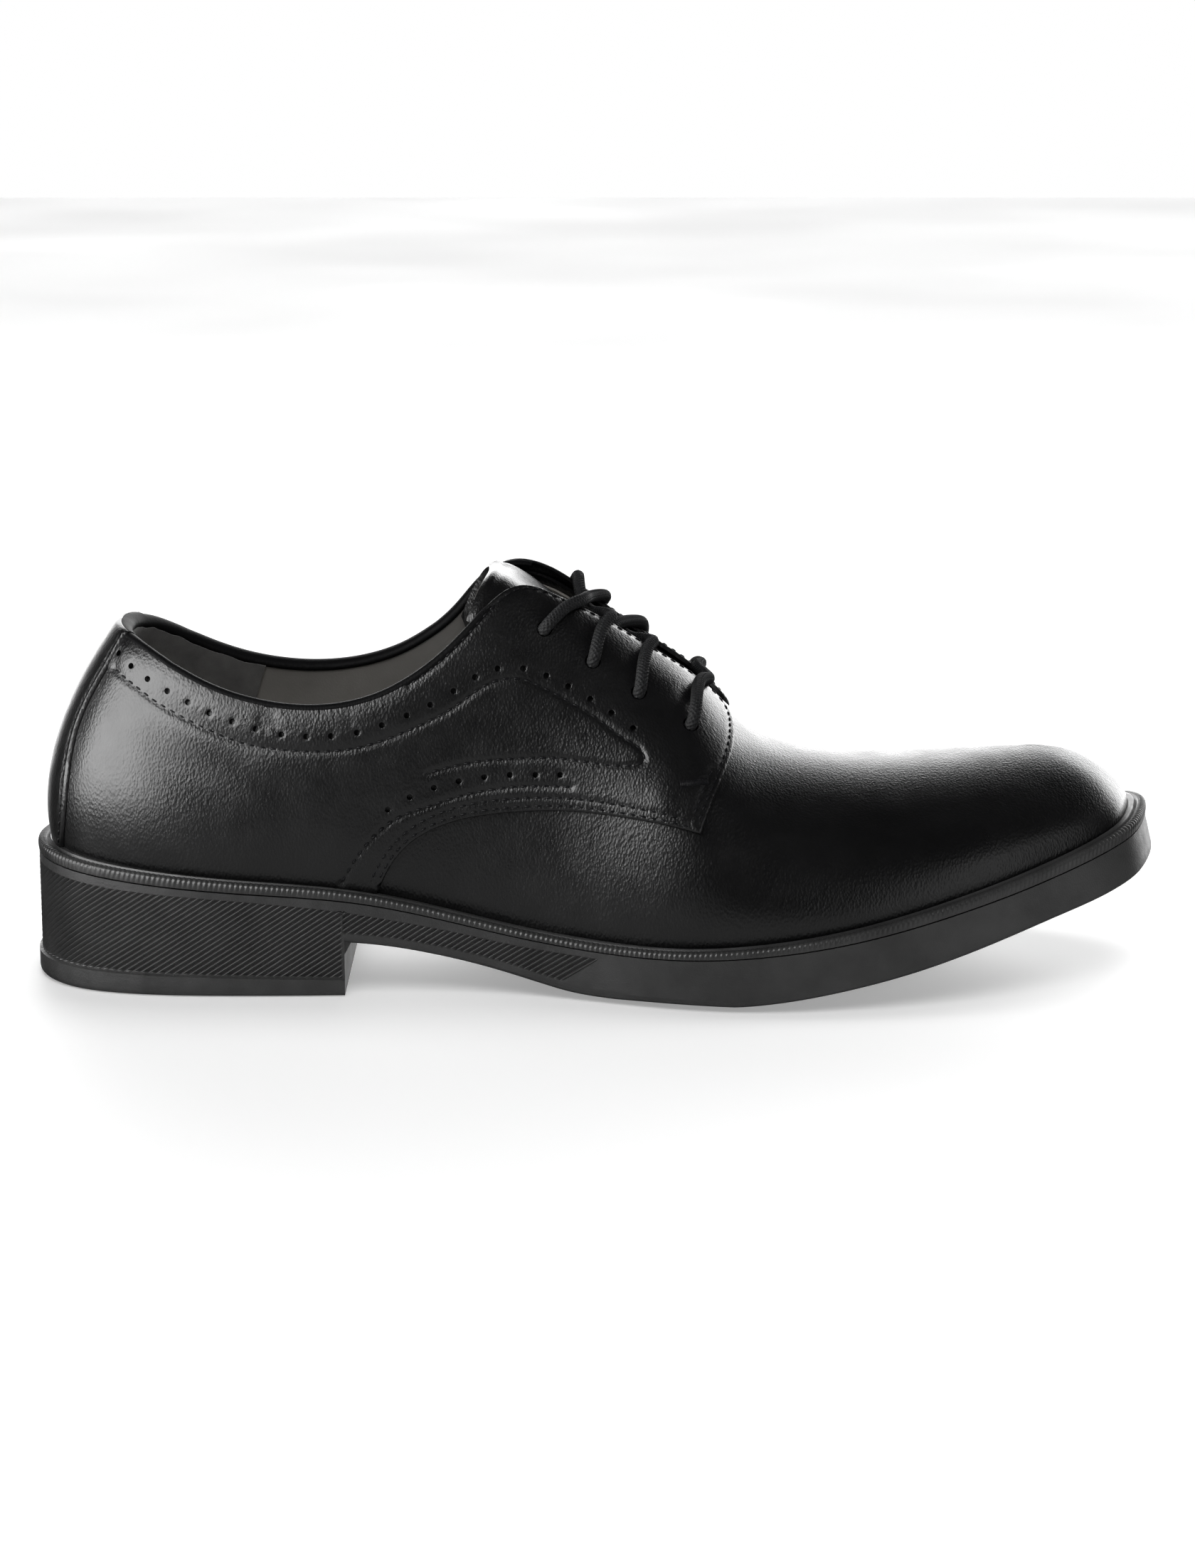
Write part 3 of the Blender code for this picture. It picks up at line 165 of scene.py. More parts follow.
# Openings of the upper
COLLAR_LINE = table(
    "x z",
    (-134.0, 97.6), (-127.0, 95.2), (-120.5, 92.6), (-112.5, 88.2), (-101.0, 82.5), (-88.0, 78.7),
    (-77.0, 77.5), (-67.0, 78.2), (-57.0, 81.0), (-48.0, 85.8), (-40.0, 91.9), (-33.5, 98.2),
    (-27.0, 105.0), (-18.0, 115.0),
)
MEDIAL_COLLAR = table("x rise", (-115.0, 0.0), (-90.0, 1.0), (-60.0, 1.8), (-40.0, 2.4), (-25.0, 5.6))
# How far the far facing's top corner is bent up, and where beside the ridge that starts and ends
FAR_LIFT = table(
    "x z",
    (-44.0, 0.0), (-32.0, 1.8), (-21.0, 3.7), (-10.0, 2.4), (0.0, 0.2), (12.0, -0.4), (26.0, 0.0),
)
LIFT_START = 5.0
LIFT_RISE = 6.0
LIFT_END = 32.0
LIFT_FALL = 14.0
# Near edge of the backstay seen from the side, welt to collar
BACKSTAY_EDGE = table(
    "x z",
    (-140.9, 35.0), (-140.6, 39.6), (-139.2, 55.0), (-137.4, 65.7), (-133.6, 75.2), (-129.0, 83.5),
    (-123.4, 93.3),
)
FACING_GAP = table("x half", (-24.0, 15.5), (-8.0, 12.5), (12.0, 9.6), (34.0, 7.0))
CORNER_SOFTNESS = 1.5     # rounds the corner between collar and throat
FAR_OVER = 40.0           # distances beyond this make no difference to that rounding
THROAT_BACK = -45.0       # sections that meet the ridge behind this end at the collar alone
THROAT_FRONT = 33.0
THROAT_ROUND = 9.0
THROAT_SETBACK = 2.0      # the upper ends this far behind the facing's edge

# Outline of a quarter seen from the side, after its collar edge
FACING_EDGE = table(
    "x half",
    (-17.0, 14.6), (-10.0, 13.2), (2.0, 11.2), (14.0, 9.6), (25.0, 8.2), (31.5, 8.4),
)
QUARTER_FRONT = table(
    "x z",
    (35.4, 67.4), (34.8, 64.2), (32.6, 59.6), (29.6, 53.2), (26.9, 46.2),
)
QUARTER_FOOT = table(
    "x z",
    (26.9, 46.2), (17.0, 48.4), (2.0, 49.9), (-13.5, 50.2), (-29.0, 48.7), (-41.0, 45.8),
    (-49.0, 41.4), (-54.0, 36.0), (-57.0, 30.4),
)
EYELETS = table("x z", (-14.3, 96.1), (-1.6, 87.6), (10.5, 79.5), (23.8, 71.2))

# Tongue
TONGUE_TOP_X = -27.5
TONGUE_FRONT_X = 45.0
TONGUE_HALF = table("x half", (-30.0, 21.5), (-20.0, 24.0), (10.0, 22.0), (45.0, 17.0))
TONGUE_SWEEP = -2.5       # how far the sides of its top edge lie in front of the middle
TONGUE_DIP = 3.0          # pressed down this much in the middle, under the laces

# Fineness of the meshes
SOLE_STEPS = 150
INSOLE_GAP = 0.5
CROWDING = 0.35           # how much closer together the sections are at heel and toe
SHEET_RISE = 80.0         # length of a section for one radian of its place
EDGE_STEP = 1.1
QUARTER_BACK = 2.0        # each quarter ends this far from the back seam
COLLAR_END_X = -31.0
COLLAR_POINTS = 24
SEAT_POINTS = 150
BACK_POINTS = 60
SEARCH_POINTS = 800
CURVE_POINTS = 40         # for each given point of a smooth curve
RIDGE_SAMPLES = 2001
ABOVE_RANGE = (0.1, 0.95)   # stations searched for a point given from above
ABOVE_STEPS = 24
INSIDE_BATCH = 4000       # points taken at a time, to spare memory
DISTANCE_BATCH = 1500
HALF_SEARCH_LOW = 0.3     # searches up a section start at these places
COLLAR_SEARCH_LOW = 0.05
TONGUE_THINNING = 0.6     # share of its thickness lost at the sides
SEAT_GAP = 0.4


def spline(knots, values):
    """Natural cubic spline through two columns of a table, level beyond its ends."""
    count = len(knots)
    gaps = np.diff(knots)
    slopes = np.diff(values) / gaps
    system = np.eye(count)
    right = np.zeros(count)
    for i in range(1, count - 1):
        system[i, i - 1:i + 2] = gaps[i - 1], 2 * (gaps[i - 1] + gaps[i]), gaps[i]
        right[i] = 6 * (slopes[i] - slopes[i - 1])
    bend = np.linalg.solve(system, right)

    def at(place):
        held = np.clip(place, knots[0], knots[-1])
        i = np.clip(np.searchsorted(knots, held) - 1, 0, count - 2)
        before = held - knots[i]
        after = knots[i + 1] - held
        cubic = (bend[i] * after ** 3 + bend[i + 1] * before ** 3) / (6 * gaps[i])
        first = (values[i] / gaps[i] - bend[i] * gaps[i] / 6) * after
        second = (values[i + 1] / gaps[i] - bend[i + 1] * gaps[i] / 6) * before
        return cubic + first + second

    return at


def column(rows, key, value):
    return spline(rows[key], rows[value])


def running_length(points):
    """Distance along a line of points, from its first point to each of them."""
    return np.concatenate([[0.0], np.cumsum(np.linalg.norm(np.diff(points, axis=0), axis=1))])


def read_along(spots, reach, line):
    """Columns of a line, given at distances along it, read at other distances."""
    return np.stack([np.interp(spots, reach, line[:, k]) for k in range(line.shape[1])], axis=1)


def unit(directions):
    """Directions brought to length 1."""
    return directions / np.linalg.norm(directions, axis=-1)[..., None]


def turned_right(directions):
    """Directions in a plane, turned right by a quarter."""
    return np.stack([directions[:, 1], -directions[:, 0]], axis=1)


def along(points, spacing):
    """Evenly spaced points on a smooth open curve through a few points of any dimension."""
    points = np.asarray(points, float)
    reach = running_length(points)
    curves = [spline(reach, points[:, k]) for k in range(points.shape[1])]
    fine = np.linspace(0.0, reach[-1], CURVE_POINTS * len(points))
    path = np.stack([curve(fine) for curve in curves], axis=1)
    run = running_length(path)
    steps = np.linspace(0.0, run[-1], max(2, int(round(run[-1] / spacing)) + 1))
    return read_along(steps, run, path)


class SoleEdge:
    """Closed edge of the sole, read by side and by share of the way from heel to toe."""

    WRAP = 4                  # points repeated beyond both ends, so that the curve closes smoothly
    SAMPLES = 900
    STEP = 0.05               # to both sides of a place, for its direction

    def __init__(self):
        outer = np.stack([LATERAL_EDGE["x"], LATERAL_EDGE["y"]], axis=1)
        inner = np.stack([MEDIAL_EDGE["x"], MEDIAL_EDGE["y"]], axis=1)
        loop = np.concatenate([outer, inner[-2:0:-1]])
        ring = np.concatenate([loop[-self.WRAP:], loop, loop[:self.WRAP + 1]])
        reach = running_length(ring)
        heel = reach[self.WRAP]
        toe = reach[self.WRAP + len(outer) - 1]
        back = reach[self.WRAP + len(loop)]
        curve_x = spline(reach, ring[:, 0])
        curve_y = spline(reach, ring[:, 1])
        self.sides = [
            self.trace(curve_x, curve_y, heel, toe, OUTWARD_Y[LATERAL]),
            self.trace(curve_x, curve_y, back, toe, OUTWARD_Y[MEDIAL]),
        ]

    def trace(self, curve_x, curve_y, start, end, outward):
        place = np.linspace(start, end, self.SAMPLES)
        x = curve_x(place)
        y = curve_y(place)
        step = math.copysign(self.STEP, end - start)
        tangent = unit(np.stack([c(place + step) - c(place - step) for c in (curve_x, curve_y)], axis=1))
        run = np.concatenate([[0.0], np.cumsum(np.hypot(np.diff(x), np.diff(y)))])
        return {
            "length": run[-1],
            "u": run / run[-1],
            "x": x,
            "y": y,
            "nx": -outward * tangent[:, 1],
            "ny": outward * tangent[:, 0],
        }

    def at(self, side, u):
        trace = self.sides[side]
        return [np.interp(u, trace["u"], trace[key]) for key in ("x", "y", "nx", "ny")]

    def length(self, side):
        return self.sides[side]["length"]

    def share_at_x(self, side, x):
        trace = self.sides[side]
        return np.interp(x, np.maximum.accumulate(trace["x"]), trace["u"])


EDGE = SoleEdge()
sole_curve = column(SOLE_BOTTOM, "x", "z")
sole_top = column(SOLE_TOP, "x", "z")
edge_rise = column(EDGE_ROUND, "x", "rise")
edge_inset = column(EDGE_ROUND, "x", "inset")
toe_flare = column(TOE_FLARE, "x", "out")
rib_top = column(RIB_TOP, "x", "z")
lip_top = column(LIP_TOP, "x", "z")
welt_inset = column(WELT_INSET, "u", "inset")
welt_height = column(WELT_HEIGHT, "x", "z")
ridge_place = column(RIDGE_PLACE, "u", "x")
ridge_y = column(RIDGE_LINE, "x", "y")
ridge_z = column(RIDGE_LINE, "x", "z")
fullness = [column(SECTION, "u", "full_lateral"), column(SECTION, "u", "full_medial")]
swelling = [column(SECTION, "u", "swell_lateral"), column(SECTION, "u", "swell_medial")]
swell_peak = column(SECTION, "u", "peak")
section_bend = column(SECTION, "u", "bend")
collar_line = column(COLLAR_LINE, "x", "z")
medial_collar = column(MEDIAL_COLLAR, "x", "rise")
facing_gap = column(FACING_GAP, "x", "half")
facing_half = column(FACING_EDGE, "x", "half")
tongue_half = column(TONGUE_HALF, "x", "half")
far_lift = column(FAR_LIFT, "x", "z")


def sole_bottom(x):
    """Underside in front of the heel, flat where it meets the floor."""
    return np.maximum(sole_curve(x), 0.0)


def ridge_share(x):
    """Station whose section ends at this place on the ridge."""
    shares = np.linspace(0.0, 1.0, RIDGE_SAMPLES)
    return np.interp(x, ridge_place(shares), shares)


def section_ends(side, u):
    """Foot of a section on the welt and its end on the ridge, with the outward direction."""
    x, y, nx, ny = EDGE.at(side, u)
    inset = welt_inset(u)
    foot_x = x - nx * inset
    foot_y = y - ny * inset
    foot = (foot_x, foot_y, sole_top(foot_x) + GAP)
    top_x = ridge_place(u)
    return foot, (top_x, ridge_y(top_x), ridge_z(top_x)), (nx, ny)


def bare_point(side, u, phi):
    """Outer surface of the upper: from the welt (phi 0) over the foot to its ridge (phi 90 degrees)."""
    foot, top, (nx, ny) = section_ends(side, u)
    power = fullness[side](u)
    rise = np.sin(np.clip(phi, 0.0, RIDGE))
    across = np.maximum(np.cos(np.clip(phi, 0.0, RIDGE)), 0.0)
    size = (rise ** power + across ** power) ** (1.0 / power)
    rise = rise / size
    across = across / size
    peak = swell_peak(u)
    fall = 1.0 / peak - 1.0
    out = swelling[side](u) * rise * (1.0 - rise) ** fall / (peak * (1.0 - peak) ** fall)
    bend = np.clip(section_bend(u), 0.0, 1.0)
    back = bend * across + (1.0 - bend) * (1.0 - rise)
    return np.stack([
        top[0] + (foot[0] - top[0]) * back + nx * out,
        top[1] + (foot[1] - top[1]) * across + ny * out,
        foot[2] + (top[2] - foot[2]) * rise,
    ], axis=-1)


def last_point(side, u, phi):
    """That surface with the far facing bent up at its top corner."""
    point = bare_point(side, u, phi)
    if side == MEDIAL:
        half = np.abs(point[..., 1] - ridge_y(ridge_place(u)))
        start = np.clip((half - LIFT_START) / LIFT_RISE, 0.0, 1.0)
        share = start * np.clip((LIFT_END - half) / LIFT_FALL, 0.0, 1.0)
        point[..., 2] += far_lift(point[..., 0]) * share * share * (3.0 - 2.0 * share)
    return point


def last_normal(side, u, phi):
    """Outward direction of that surface."""
    step_u = 0.002
    step_phi = 0.004
    lowest = 0.003
    u = np.asarray(u, float)
    phi = np.asarray(phi, float)
    low = np.clip(u - step_u, 0.0, 1.0)
    high = np.clip(u + step_u, 0.0, 1.0)
    down = np.clip(phi - step_phi, lowest, RIDGE)
    up = np.clip(phi + step_phi, lowest + step_phi, RIDGE)
    forward = last_point(side, high, phi) - last_point(side, low, phi)
    upward = last_point(side, u, up) - last_point(side, u, down)
    normal = np.cross(forward, upward) * -OUTWARD_Y[side]
    return unit(normal)


def phi_at_height(side, u, z):
    """Place up a section where it reaches a height."""
    foot, top, _ = section_ends(side, u)
    rise = np.clip((z - foot[2]) / (top[2] - foot[2]), 0.0, 1.0)
    power = fullness[side](u)
    return np.arctan2(rise, (1.0 - rise ** power) ** (1.0 / power))


def phi_at_half(side, u, half):
    """Place up a section where it is this far from the ridge, seen from above."""
    phi = np.linspace(HALF_SEARCH_LOW, RIDGE, SEARCH_POINTS)
    points = last_point(side, np.full(SEARCH_POINTS, u), phi)
    distance = np.abs(points[:, 1] - ridge_y(ridge_place(u)))
    return np.interp(-half, -distance, phi)


def bisect(measure, low, high, steps=32):
    for _ in range(steps):
        middle = 0.5 * (low + high)
        if measure(middle) < 0.0:
            low = middle
        else:
            high = middle
    return 0.5 * (low + high)


def place_from_side(side, x, z):
    """Station and place up the section of a point given as seen from the side."""
    def ahead(u):
        return last_point(side, u, phi_at_height(side, u, z))[0] - x

    u = bisect(ahead, 0.0, 1.0)
    return u, float(phi_at_height(side, u, z))


def places_from_side(side, rows):
    return [place_from_side(side, x, z) for x, z in zip(rows["x"], rows["z"])]


def place_from_above(side, x, half):
    """Station and place up the section of a point given as seen from above."""
    def ahead(u):
        return last_point(side, u, phi_at_half(side, u, half))[0] - x

    u = bisect(ahead, *ABOVE_RANGE, ABOVE_STEPS)
    return u, float(phi_at_half(side, u, half))


class Skin:
    """Faces of one solid, sharing the points that fall in one place."""

    FINENESS = 2000           # places told apart in one millimetre

    def __init__(self):
        self.points = []
        self.places = {}
        self.faces = []

    def point(self, place):
        key = tuple(int(round(float(v) * self.FINENESS)) for v in place)
        if key not in self.places:
            self.places[key] = len(self.points)
            self.points.append([float(v) for v in place])
        return self.places[key]

    def face(self, *corners):
        ring = []
        for corner in corners:
            index = self.point(corner)
            if index not in ring:
                ring.append(index)
        if len(ring) > 2:
            self.faces.append(ring)

    def strip(self, first, second):
        """Quads between two rows of points of equal length."""
        for i in range(len(first) - 1):
            self.face(first[i], first[i + 1], second[i + 1], second[i])


def triangulate(outline, inner_lines, inner_points):
    """Triangles that fill an outline and follow the lines inside it, in two dimensions."""
    points = [Vector(p) for p in outline]
    count = len(points)
    edges = [(i, (i + 1) % count) for i in range(count)]
    for line in inner_lines:
        start = len(points)
        points.extend(Vector(p) for p in line)
        edges.extend((start + i, start + i + 1) for i in range(len(line) - 1))
    points.extend(Vector(p) for p in inner_points)
    found = delaunay_2d_cdt(points, edges, [], 1, 1e-5)
    return np.array([tuple(p) for p in found[0]]), found[2]


def inside(outline, points):
    """Which points lie inside a closed outline."""
    outline = np.asarray(outline)
    x = points[:, 0]
    y = points[:, 1]
    held = np.zeros(len(points), bool)
    for (ax, ay), (bx, by) in zip(outline, np.roll(outline, -1, axis=0)):
        if ay == by:
            continue
        crosses = (ay > y) != (by > y)
        held ^= crosses & (x < ax + (bx - ax) * (y - ay) / (by - ay))
    return held


def clearance(outline, points):
    """Distance of each point from a closed outline."""
    outline = np.asarray(outline)
    best = np.full(len(points), np.inf)
    for a, b in zip(outline, np.roll(outline, -1, axis=0)):
        run = b - a
        share = np.clip(((points - a) @ run) / max(run @ run, 1e-12), 0.0, 1.0)
        best = np.minimum(best, np.linalg.norm(points - a - share[:, None] * run, axis=1))
    return best


# Places on the sole and on the upper
def sole_stations():
    """Places along x, and the share of the edge on each side that reaches each of them."""
    x = EDGE.at(LATERAL, np.linspace(0.0, 1.0, SOLE_STEPS + 1))[0]
    breast = int(np.argmin(np.abs(x - BREAST_X)))
    x[breast] = BREAST_X
    shares = [EDGE.share_at_x(side, x) for side in SIDES]
    for side in SIDES:
        shares[side][0] = 0.0
        shares[side][-1] = 1.0
    return x, shares, breast


def wall_place(a):
    """Side and station of a distance round the edge from the back of the heel, outer side negative."""
    side = LATERAL if a < 0.0 else MEDIAL
    return side, min(abs(a) / EDGE.length(side), 1.0)


def wall_distance(side, u):
    return OUTWARD_Y[side] * u * EDGE.length(side)


def wall_x(a):
    return float(EDGE.at(*wall_place(a))[0])


def wall_point(a, z, out):
    """Point of the side wall, which leans out towards its foot at the toe."""
    x, y, nx, ny = (float(v) for v in EDGE.at(*wall_place(a)))
    if x > TOE_FLARE["x"][0]:
        out += (sole_top(x) - z) / (sole_top(x) - sole_bottom(x)) * toe_flare(x)
    return x + nx * out, y + ny * out, z


def welt_top(x):
    return sole_top(x) + welt_height(x)


def wall_reach(side, u, z):
    """How far the upper stands out from the edge of the sole at a height: negative, inside it."""
    x, y, nx, ny = EDGE.at(side, u)
    point = last_point(side, u, phi_at_height(side, u, z))
    return float((point[0] - x) * nx + (point[1] - y) * ny)


def collar_height(side, x):
    return collar_line(x) + (medial_collar(x) if side == MEDIAL else 0.0)


def throat_half(x, setback):
    """Half width of the throat, which closes in a round end towards the toe; none at the heel."""
    if x < THROAT_BACK:
        return 0.0
    closing = math.sqrt(max(0.0, 2.0 * THROAT_ROUND * (THROAT_FRONT - x)))
    return min(float(facing_gap(x)) + setback, closing)


def collar_place(side, u, half):
    """Place up a section where it ends at the collar or this far from the ridge, with a soft corner."""
    phi = np.linspace(COLLAR_SEARCH_LOW, RIDGE, SEARCH_POINTS)
    points = last_point(side, np.full(SEARCH_POINTS, u), phi)
    room = np.maximum(collar_height(side, points[:, 0]) - points[:, 2], -FAR_OVER)
    if half > 0.0:
        from_ridge = np.abs(points[:, 1] - ridge_y(ridge_place(u)))
        beside = np.maximum(from_ridge - half, -FAR_OVER)
        both = np.exp(-room / CORNER_SOFTNESS) + np.exp(-beside / CORNER_SOFTNESS)
        room = -CORNER_SOFTNESS * np.log(both)
    over = int(np.nonzero(room < 0.0)[0][0])
    share = room[over - 1] / (room[over - 1] - room[over])
    return float(phi[over - 1] + share * (phi[over] - phi[over - 1]))


def seat_height(side, u):
    """Lowest level of what lies over the upper, just clear of the welt."""
    return welt_top(EDGE.at(side, u)[0]) + SEAT_GAP


def backstay_half(rows):
    """Half width of the backstay at rows from welt to collar, as a share of the edge of the sole."""
    heights = BACKSTAY_EDGE["z"]
    shares = np.array(places_from_side(LATERAL, BACKSTAY_EDGE))[:, 0]
    return spline(heights, shares)(np.linspace(heights[0], heights[-1], rows))


def over_facing(side, x, half, lift):
    """Point over the upper given from above, at a height over its surface."""
    u, phi = place_from_above(side, x, half)
    return last_point(side, u, phi) + last_normal(side, u, phi) * lift


# From the tables above to the row frame
ROW_SHIFT = np.array([0.2415, -0.0922, 0.0])
MERGE = 0.00002           # points closer together than this, in metres, become one

# Layers of the upper, as distances outward from the last
SHELL_INNER = -1.0
LINING_OUTER = -1.1
LINING_INNER = -1.9
GRIP_INNER = -2.5
GRIP_FRONT_X = -97.0
LINING_DROP = 1.1         # the lining ends this far below the collar
LINING_SETBACK = THROAT_SETBACK + 0.6
QUARTER_LOW = OVERLAY_GAP
QUARTER_HIGH = OVERLAY_GAP + QUARTER
BACKSTAY_LOW = QUARTER_HIGH + 0.1

# Fineness of the skins
SHELL_STATIONS = 190
SHELL_ROWS = 54
LINING_STATIONS = 120
LINING_ROWS = 30
QUARTER_STEP = 1.3
FINE_STEP = 0.48          # spacing beside stitches and holes
FINE_REACH = 2.4          # how far from them it is kept
WELT_STEP = 0.34
ROUND_EDGE = 0.7          # radius of a quarter's edges

# Seen from the side: perforations, rows of stitches and the bar tack of a quarter
COLLAR_HOLES = table(
    "x z",
    (-125.3, 88.4), (-122.0, 86.0), (-117.7, 83.3), (-112.6, 80.6), (-107.2, 77.9), (-101.6, 75.3),
    (-95.6, 73.2), (-89.5, 71.4), (-82.8, 70.0), (-76.3, 69.5), (-69.8, 69.7), (-63.1, 70.6),
    (-56.6, 72.5), (-50.1, 75.0), (-43.9, 77.7), (-37.8, 81.2), (-32.2, 84.7), (-26.3, 86.8),
    (-19.6, 86.7), (-13.6, 84.7), (-7.8, 81.9), (-2.0, 78.6), (3.6, 75.1), (9.3, 71.3),
)
LOWER_HOLES = table(
    "x z",
    (-55.3, 50.3), (-49.5, 53.6), (-43.1, 56.0), (-36.5, 57.7), (-29.7, 58.8), (-22.9, 59.4),
    (-16.1, 59.5), (-9.5, 59.6),
)
HOLE_RADIUS = 0.8
COLLAR_STITCH = table(
    "x z",
    (-126.6, 84.8), (-122.4, 82.2), (-114.6, 77.3), (-107.0, 73.4), (-99.2, 69.9), (-91.6, 67.4),
    (-83.8, 66.2), (-76.1, 65.7), (-68.3, 65.9), (-60.7, 67.2), (-53.1, 69.7), (-45.3, 73.0),
    (-37.6, 77.1), (-29.4, 82.6), (-23.1, 84.2), (-19.4, 83.8), (-13.9, 81.5), (-6.0, 77.3),
    (1.7, 72.6), (7.9, 68.4), (11.6, 65.9), (12.4, 64.0), (9.7, 62.5), (1.9, 62.5),
    (-5.8, 63.4), (-13.7, 63.9), (-21.4, 63.6), (-29.3, 63.1), (-37.1, 61.8), (-45.0, 59.8),
)
LOWER_STITCH = table(
    "x z",
    (-6.4, 56.6), (-13.6, 56.6), (-21.4, 56.3), (-29.3, 55.2), (-37.1, 53.5), (-45.0, 50.9),
    (-53.1, 47.8), (-58.8, 43.3), (-63.4, 37.8), (-67.8, 30.3),
)
BAR_TACK = table("x z", (21.8, 57.9), (25.0, 58.1), (28.2, 58.3))
TACK_WIDTH = 1.9
TACK_STEP = 0.42
TACK_RISE = 0.12
TACK_POINTS = 9
TACK_FINENESS = 0.1
FOOT_ROWS = (1.1, 2.9)    # distances of the stitch rows from a quarter's edge
FRONT_ROW = 3.5
EDGE_ROW = 1.7
EDGE_ROW_X = -50.0        # the row along the edge starts here
TACK_BACK_X = 20.0        # the end of the bar tack is looked for in front of this
ELSEWHERE = 100.0
STITCH_PITCH = 2.85
STITCH_LENGTH = 1.75
STITCH_RADIUS = 0.27
STITCH_FACETS = 8
STITCH_REACH = 0.4        # to both sides of a stitch, for its direction
# Soft ridges and troughs, given one by one: two ends, seen from the side, height and half width
FOLDS = table(
    "x0 z0 x1 z1 height width",
    (-124.0, 77.0, -97.0, 63.5, 0.55, 4.0), (-97.0, 63.5, -74.0, 59.5, 0.3, 4.0),
    (-121.0, 69.5, -96.0, 56.5, -0.5, 5.0), (-87.0, 76.5, -83.2, 69.7, -0.4, 1.2),
    (-89.0, 75.5, -86.4, 69.9, -0.3, 1.0), (-66.0, 76.0, -64.0, 69.5, -0.18, 1.2),
    (-17.5, 103.5, -12.6, 97.8, -0.3, 1.6), (-5.0, 96.0, 0.5, 89.5, -0.35, 1.5),
    (7.0, 88.0, 12.6, 81.5, -0.35, 1.5), (20.5, 79.0, 25.8, 72.8, -0.35, 1.5),
    (-62.0, 60.0, -56.0, 40.0, -0.25, 6.0), (14.0, 56.0, 20.0, 52.0, 0.2, 3.0),
)


# Materials
def add_node(tree, kind, sockets, **values):
    """Outputs of a new node with these properties, and a value or a link for each named socket."""
    node = tree.nodes.new(kind)
    for key, value in values.items():
        setattr(node, key, value)
    for socket, value in sockets.items():
        if isinstance(value, bpy.types.NodeSocket):
            tree.links.new(value, node.inputs[socket])
        else:
            node.inputs[socket].default_value = value
    return node.outputs


class Nodes:
    """Shader nodes of one material."""

    def __init__(self, name, colour, roughness):
        self.made = bpy.data.materials.new(name)
        self.made.use_nodes = True
        self.tree = self.made.node_tree
        self.shader = self.tree.nodes["Principled BSDF"]
        self.set("Base Color", (*colour, 1.0))
        self.set("Roughness", roughness)
        self.place = self.add("ShaderNodeTexCoord", {})["Object"]

    def set(self, socket, value):
        self.shader.inputs[socket].default_value = value

    def drive(self, socket, source):
        self.tree.links.new(source, self.shader.inputs[socket])

    def add(self, kind, sockets, **values):
        return add_node(self.tree, kind, sockets, **values)

    def stretched(self, scale, turn):
        """Object coordinates turned and scaled apart."""
        sockets = {"Scale": scale, "Rotation": turn, "Vector": self.place}
        return self.add("ShaderNodeMapping", sockets)["Vector"]

    def noise(self, scale, detail=2.0, place=None, rough=0.5):
        sockets = {"Scale": scale, "Detail": detail, "Roughness": rough, "Vector": place or self.place}
        return self.add("ShaderNodeTexNoise", sockets)["Fac"]

    def cells(self, scale, place=None):
        return self.add("ShaderNodeTexVoronoi", {"Scale": scale, "Vector": place or self.place})["Distance"]

    def ramp(self, source, low, high):
        """Noise or distance between 0.3 and 0.7 spread between two numbers."""
        sockets = {"From Min": 0.3, "From Max": 0.7, "To Min": low, "To Max": high, "Value": source}
        return self.add("ShaderNodeMapRange", sockets)["Result"]

    def sum(self, first, second, share):
        """One source plus a share of another."""
        sockets = {0: second, 1: share, 2: first}
        return self.add("ShaderNodeMath", sockets, operation="MULTIPLY_ADD")["Value"]

    def colours(self, source, first, second):
        sockets = {"A": (*first, 1.0), "B": (*second, 1.0), "Factor": self.ramp(source, 0.0, 1.0)}
        self.drive("Base Color", self.add("ShaderNodeMix", sockets, data_type="RGBA")["Result"])

    def rough(self, source, low, high):
        self.drive("Roughness", self.ramp(source, low, high))

    def bump(self, source, distance, strength):
        sockets = {"Distance": distance, "Strength": strength, "Height": source}
        self.drive("Normal", self.add("ShaderNodeBump", sockets)["Normal"])


def leather(name, grain, coat, shine, dull):
    """Black finished leather: fine slanting grain, uneven gloss."""
    n = Nodes(name, (0.012, 0.012, 0.013), 0.36)
    slanted = n.stretched((1.0, 1.0, 0.6), (0.0, math.radians(38.0), 0.0))
    pebbles = n.cells(1650.0, slanted)
    streaks = n.noise(1050.0, 4.0, slanted, 0.65)
    height = n.sum(pebbles, streaks, 1.3)
    n.bump(height, 0.00025, grain)
    n.colours(n.noise(60.0, 3.0), (0.0026, 0.0026, 0.0029), (0.0048, 0.0048, 0.0052))
    n.rough(n.noise(140.0, 4.0), dull - 0.04, dull + 0.05)
    n.set("Specular IOR Level", shine)
    n.set("Coat Weight", coat)
    n.set("Coat Roughness", 0.2)
    return n.made


def rubber(name, roughness, stipple):
    """Moulded black rubber with a fine stippled face."""
    n = Nodes(name, (0.014, 0.014, 0.014), roughness)
    dots = n.cells(1900.0)
    soft = n.noise(700.0, 2.0)
    n.bump(n.sum(dots, soft, 0.7), 0.00007, stipple)
    n.colours(n.noise(90.0, 3.0), (0.028, 0.028, 0.028), (0.042, 0.042, 0.042))
    n.rough(n.noise(220.0, 3.0), roughness - 0.05, roughness + 0.08)
    n.set("Specular IOR Level", 0.42)
    return n.made


def lining_leather():
    n = Nodes("lining_leather", (0.120, 0.114, 0.106), 0.5)
    n.bump(n.sum(n.cells(1700.0), n.noise(900.0, 3.0), 0.8), 0.00006, 0.35)
    n.colours(n.noise(45.0, 4.0), (0.195, 0.186, 0.172), (0.275, 0.262, 0.243))
    n.rough(n.noise(160.0, 3.0), 0.44, 0.6)
    return n.made


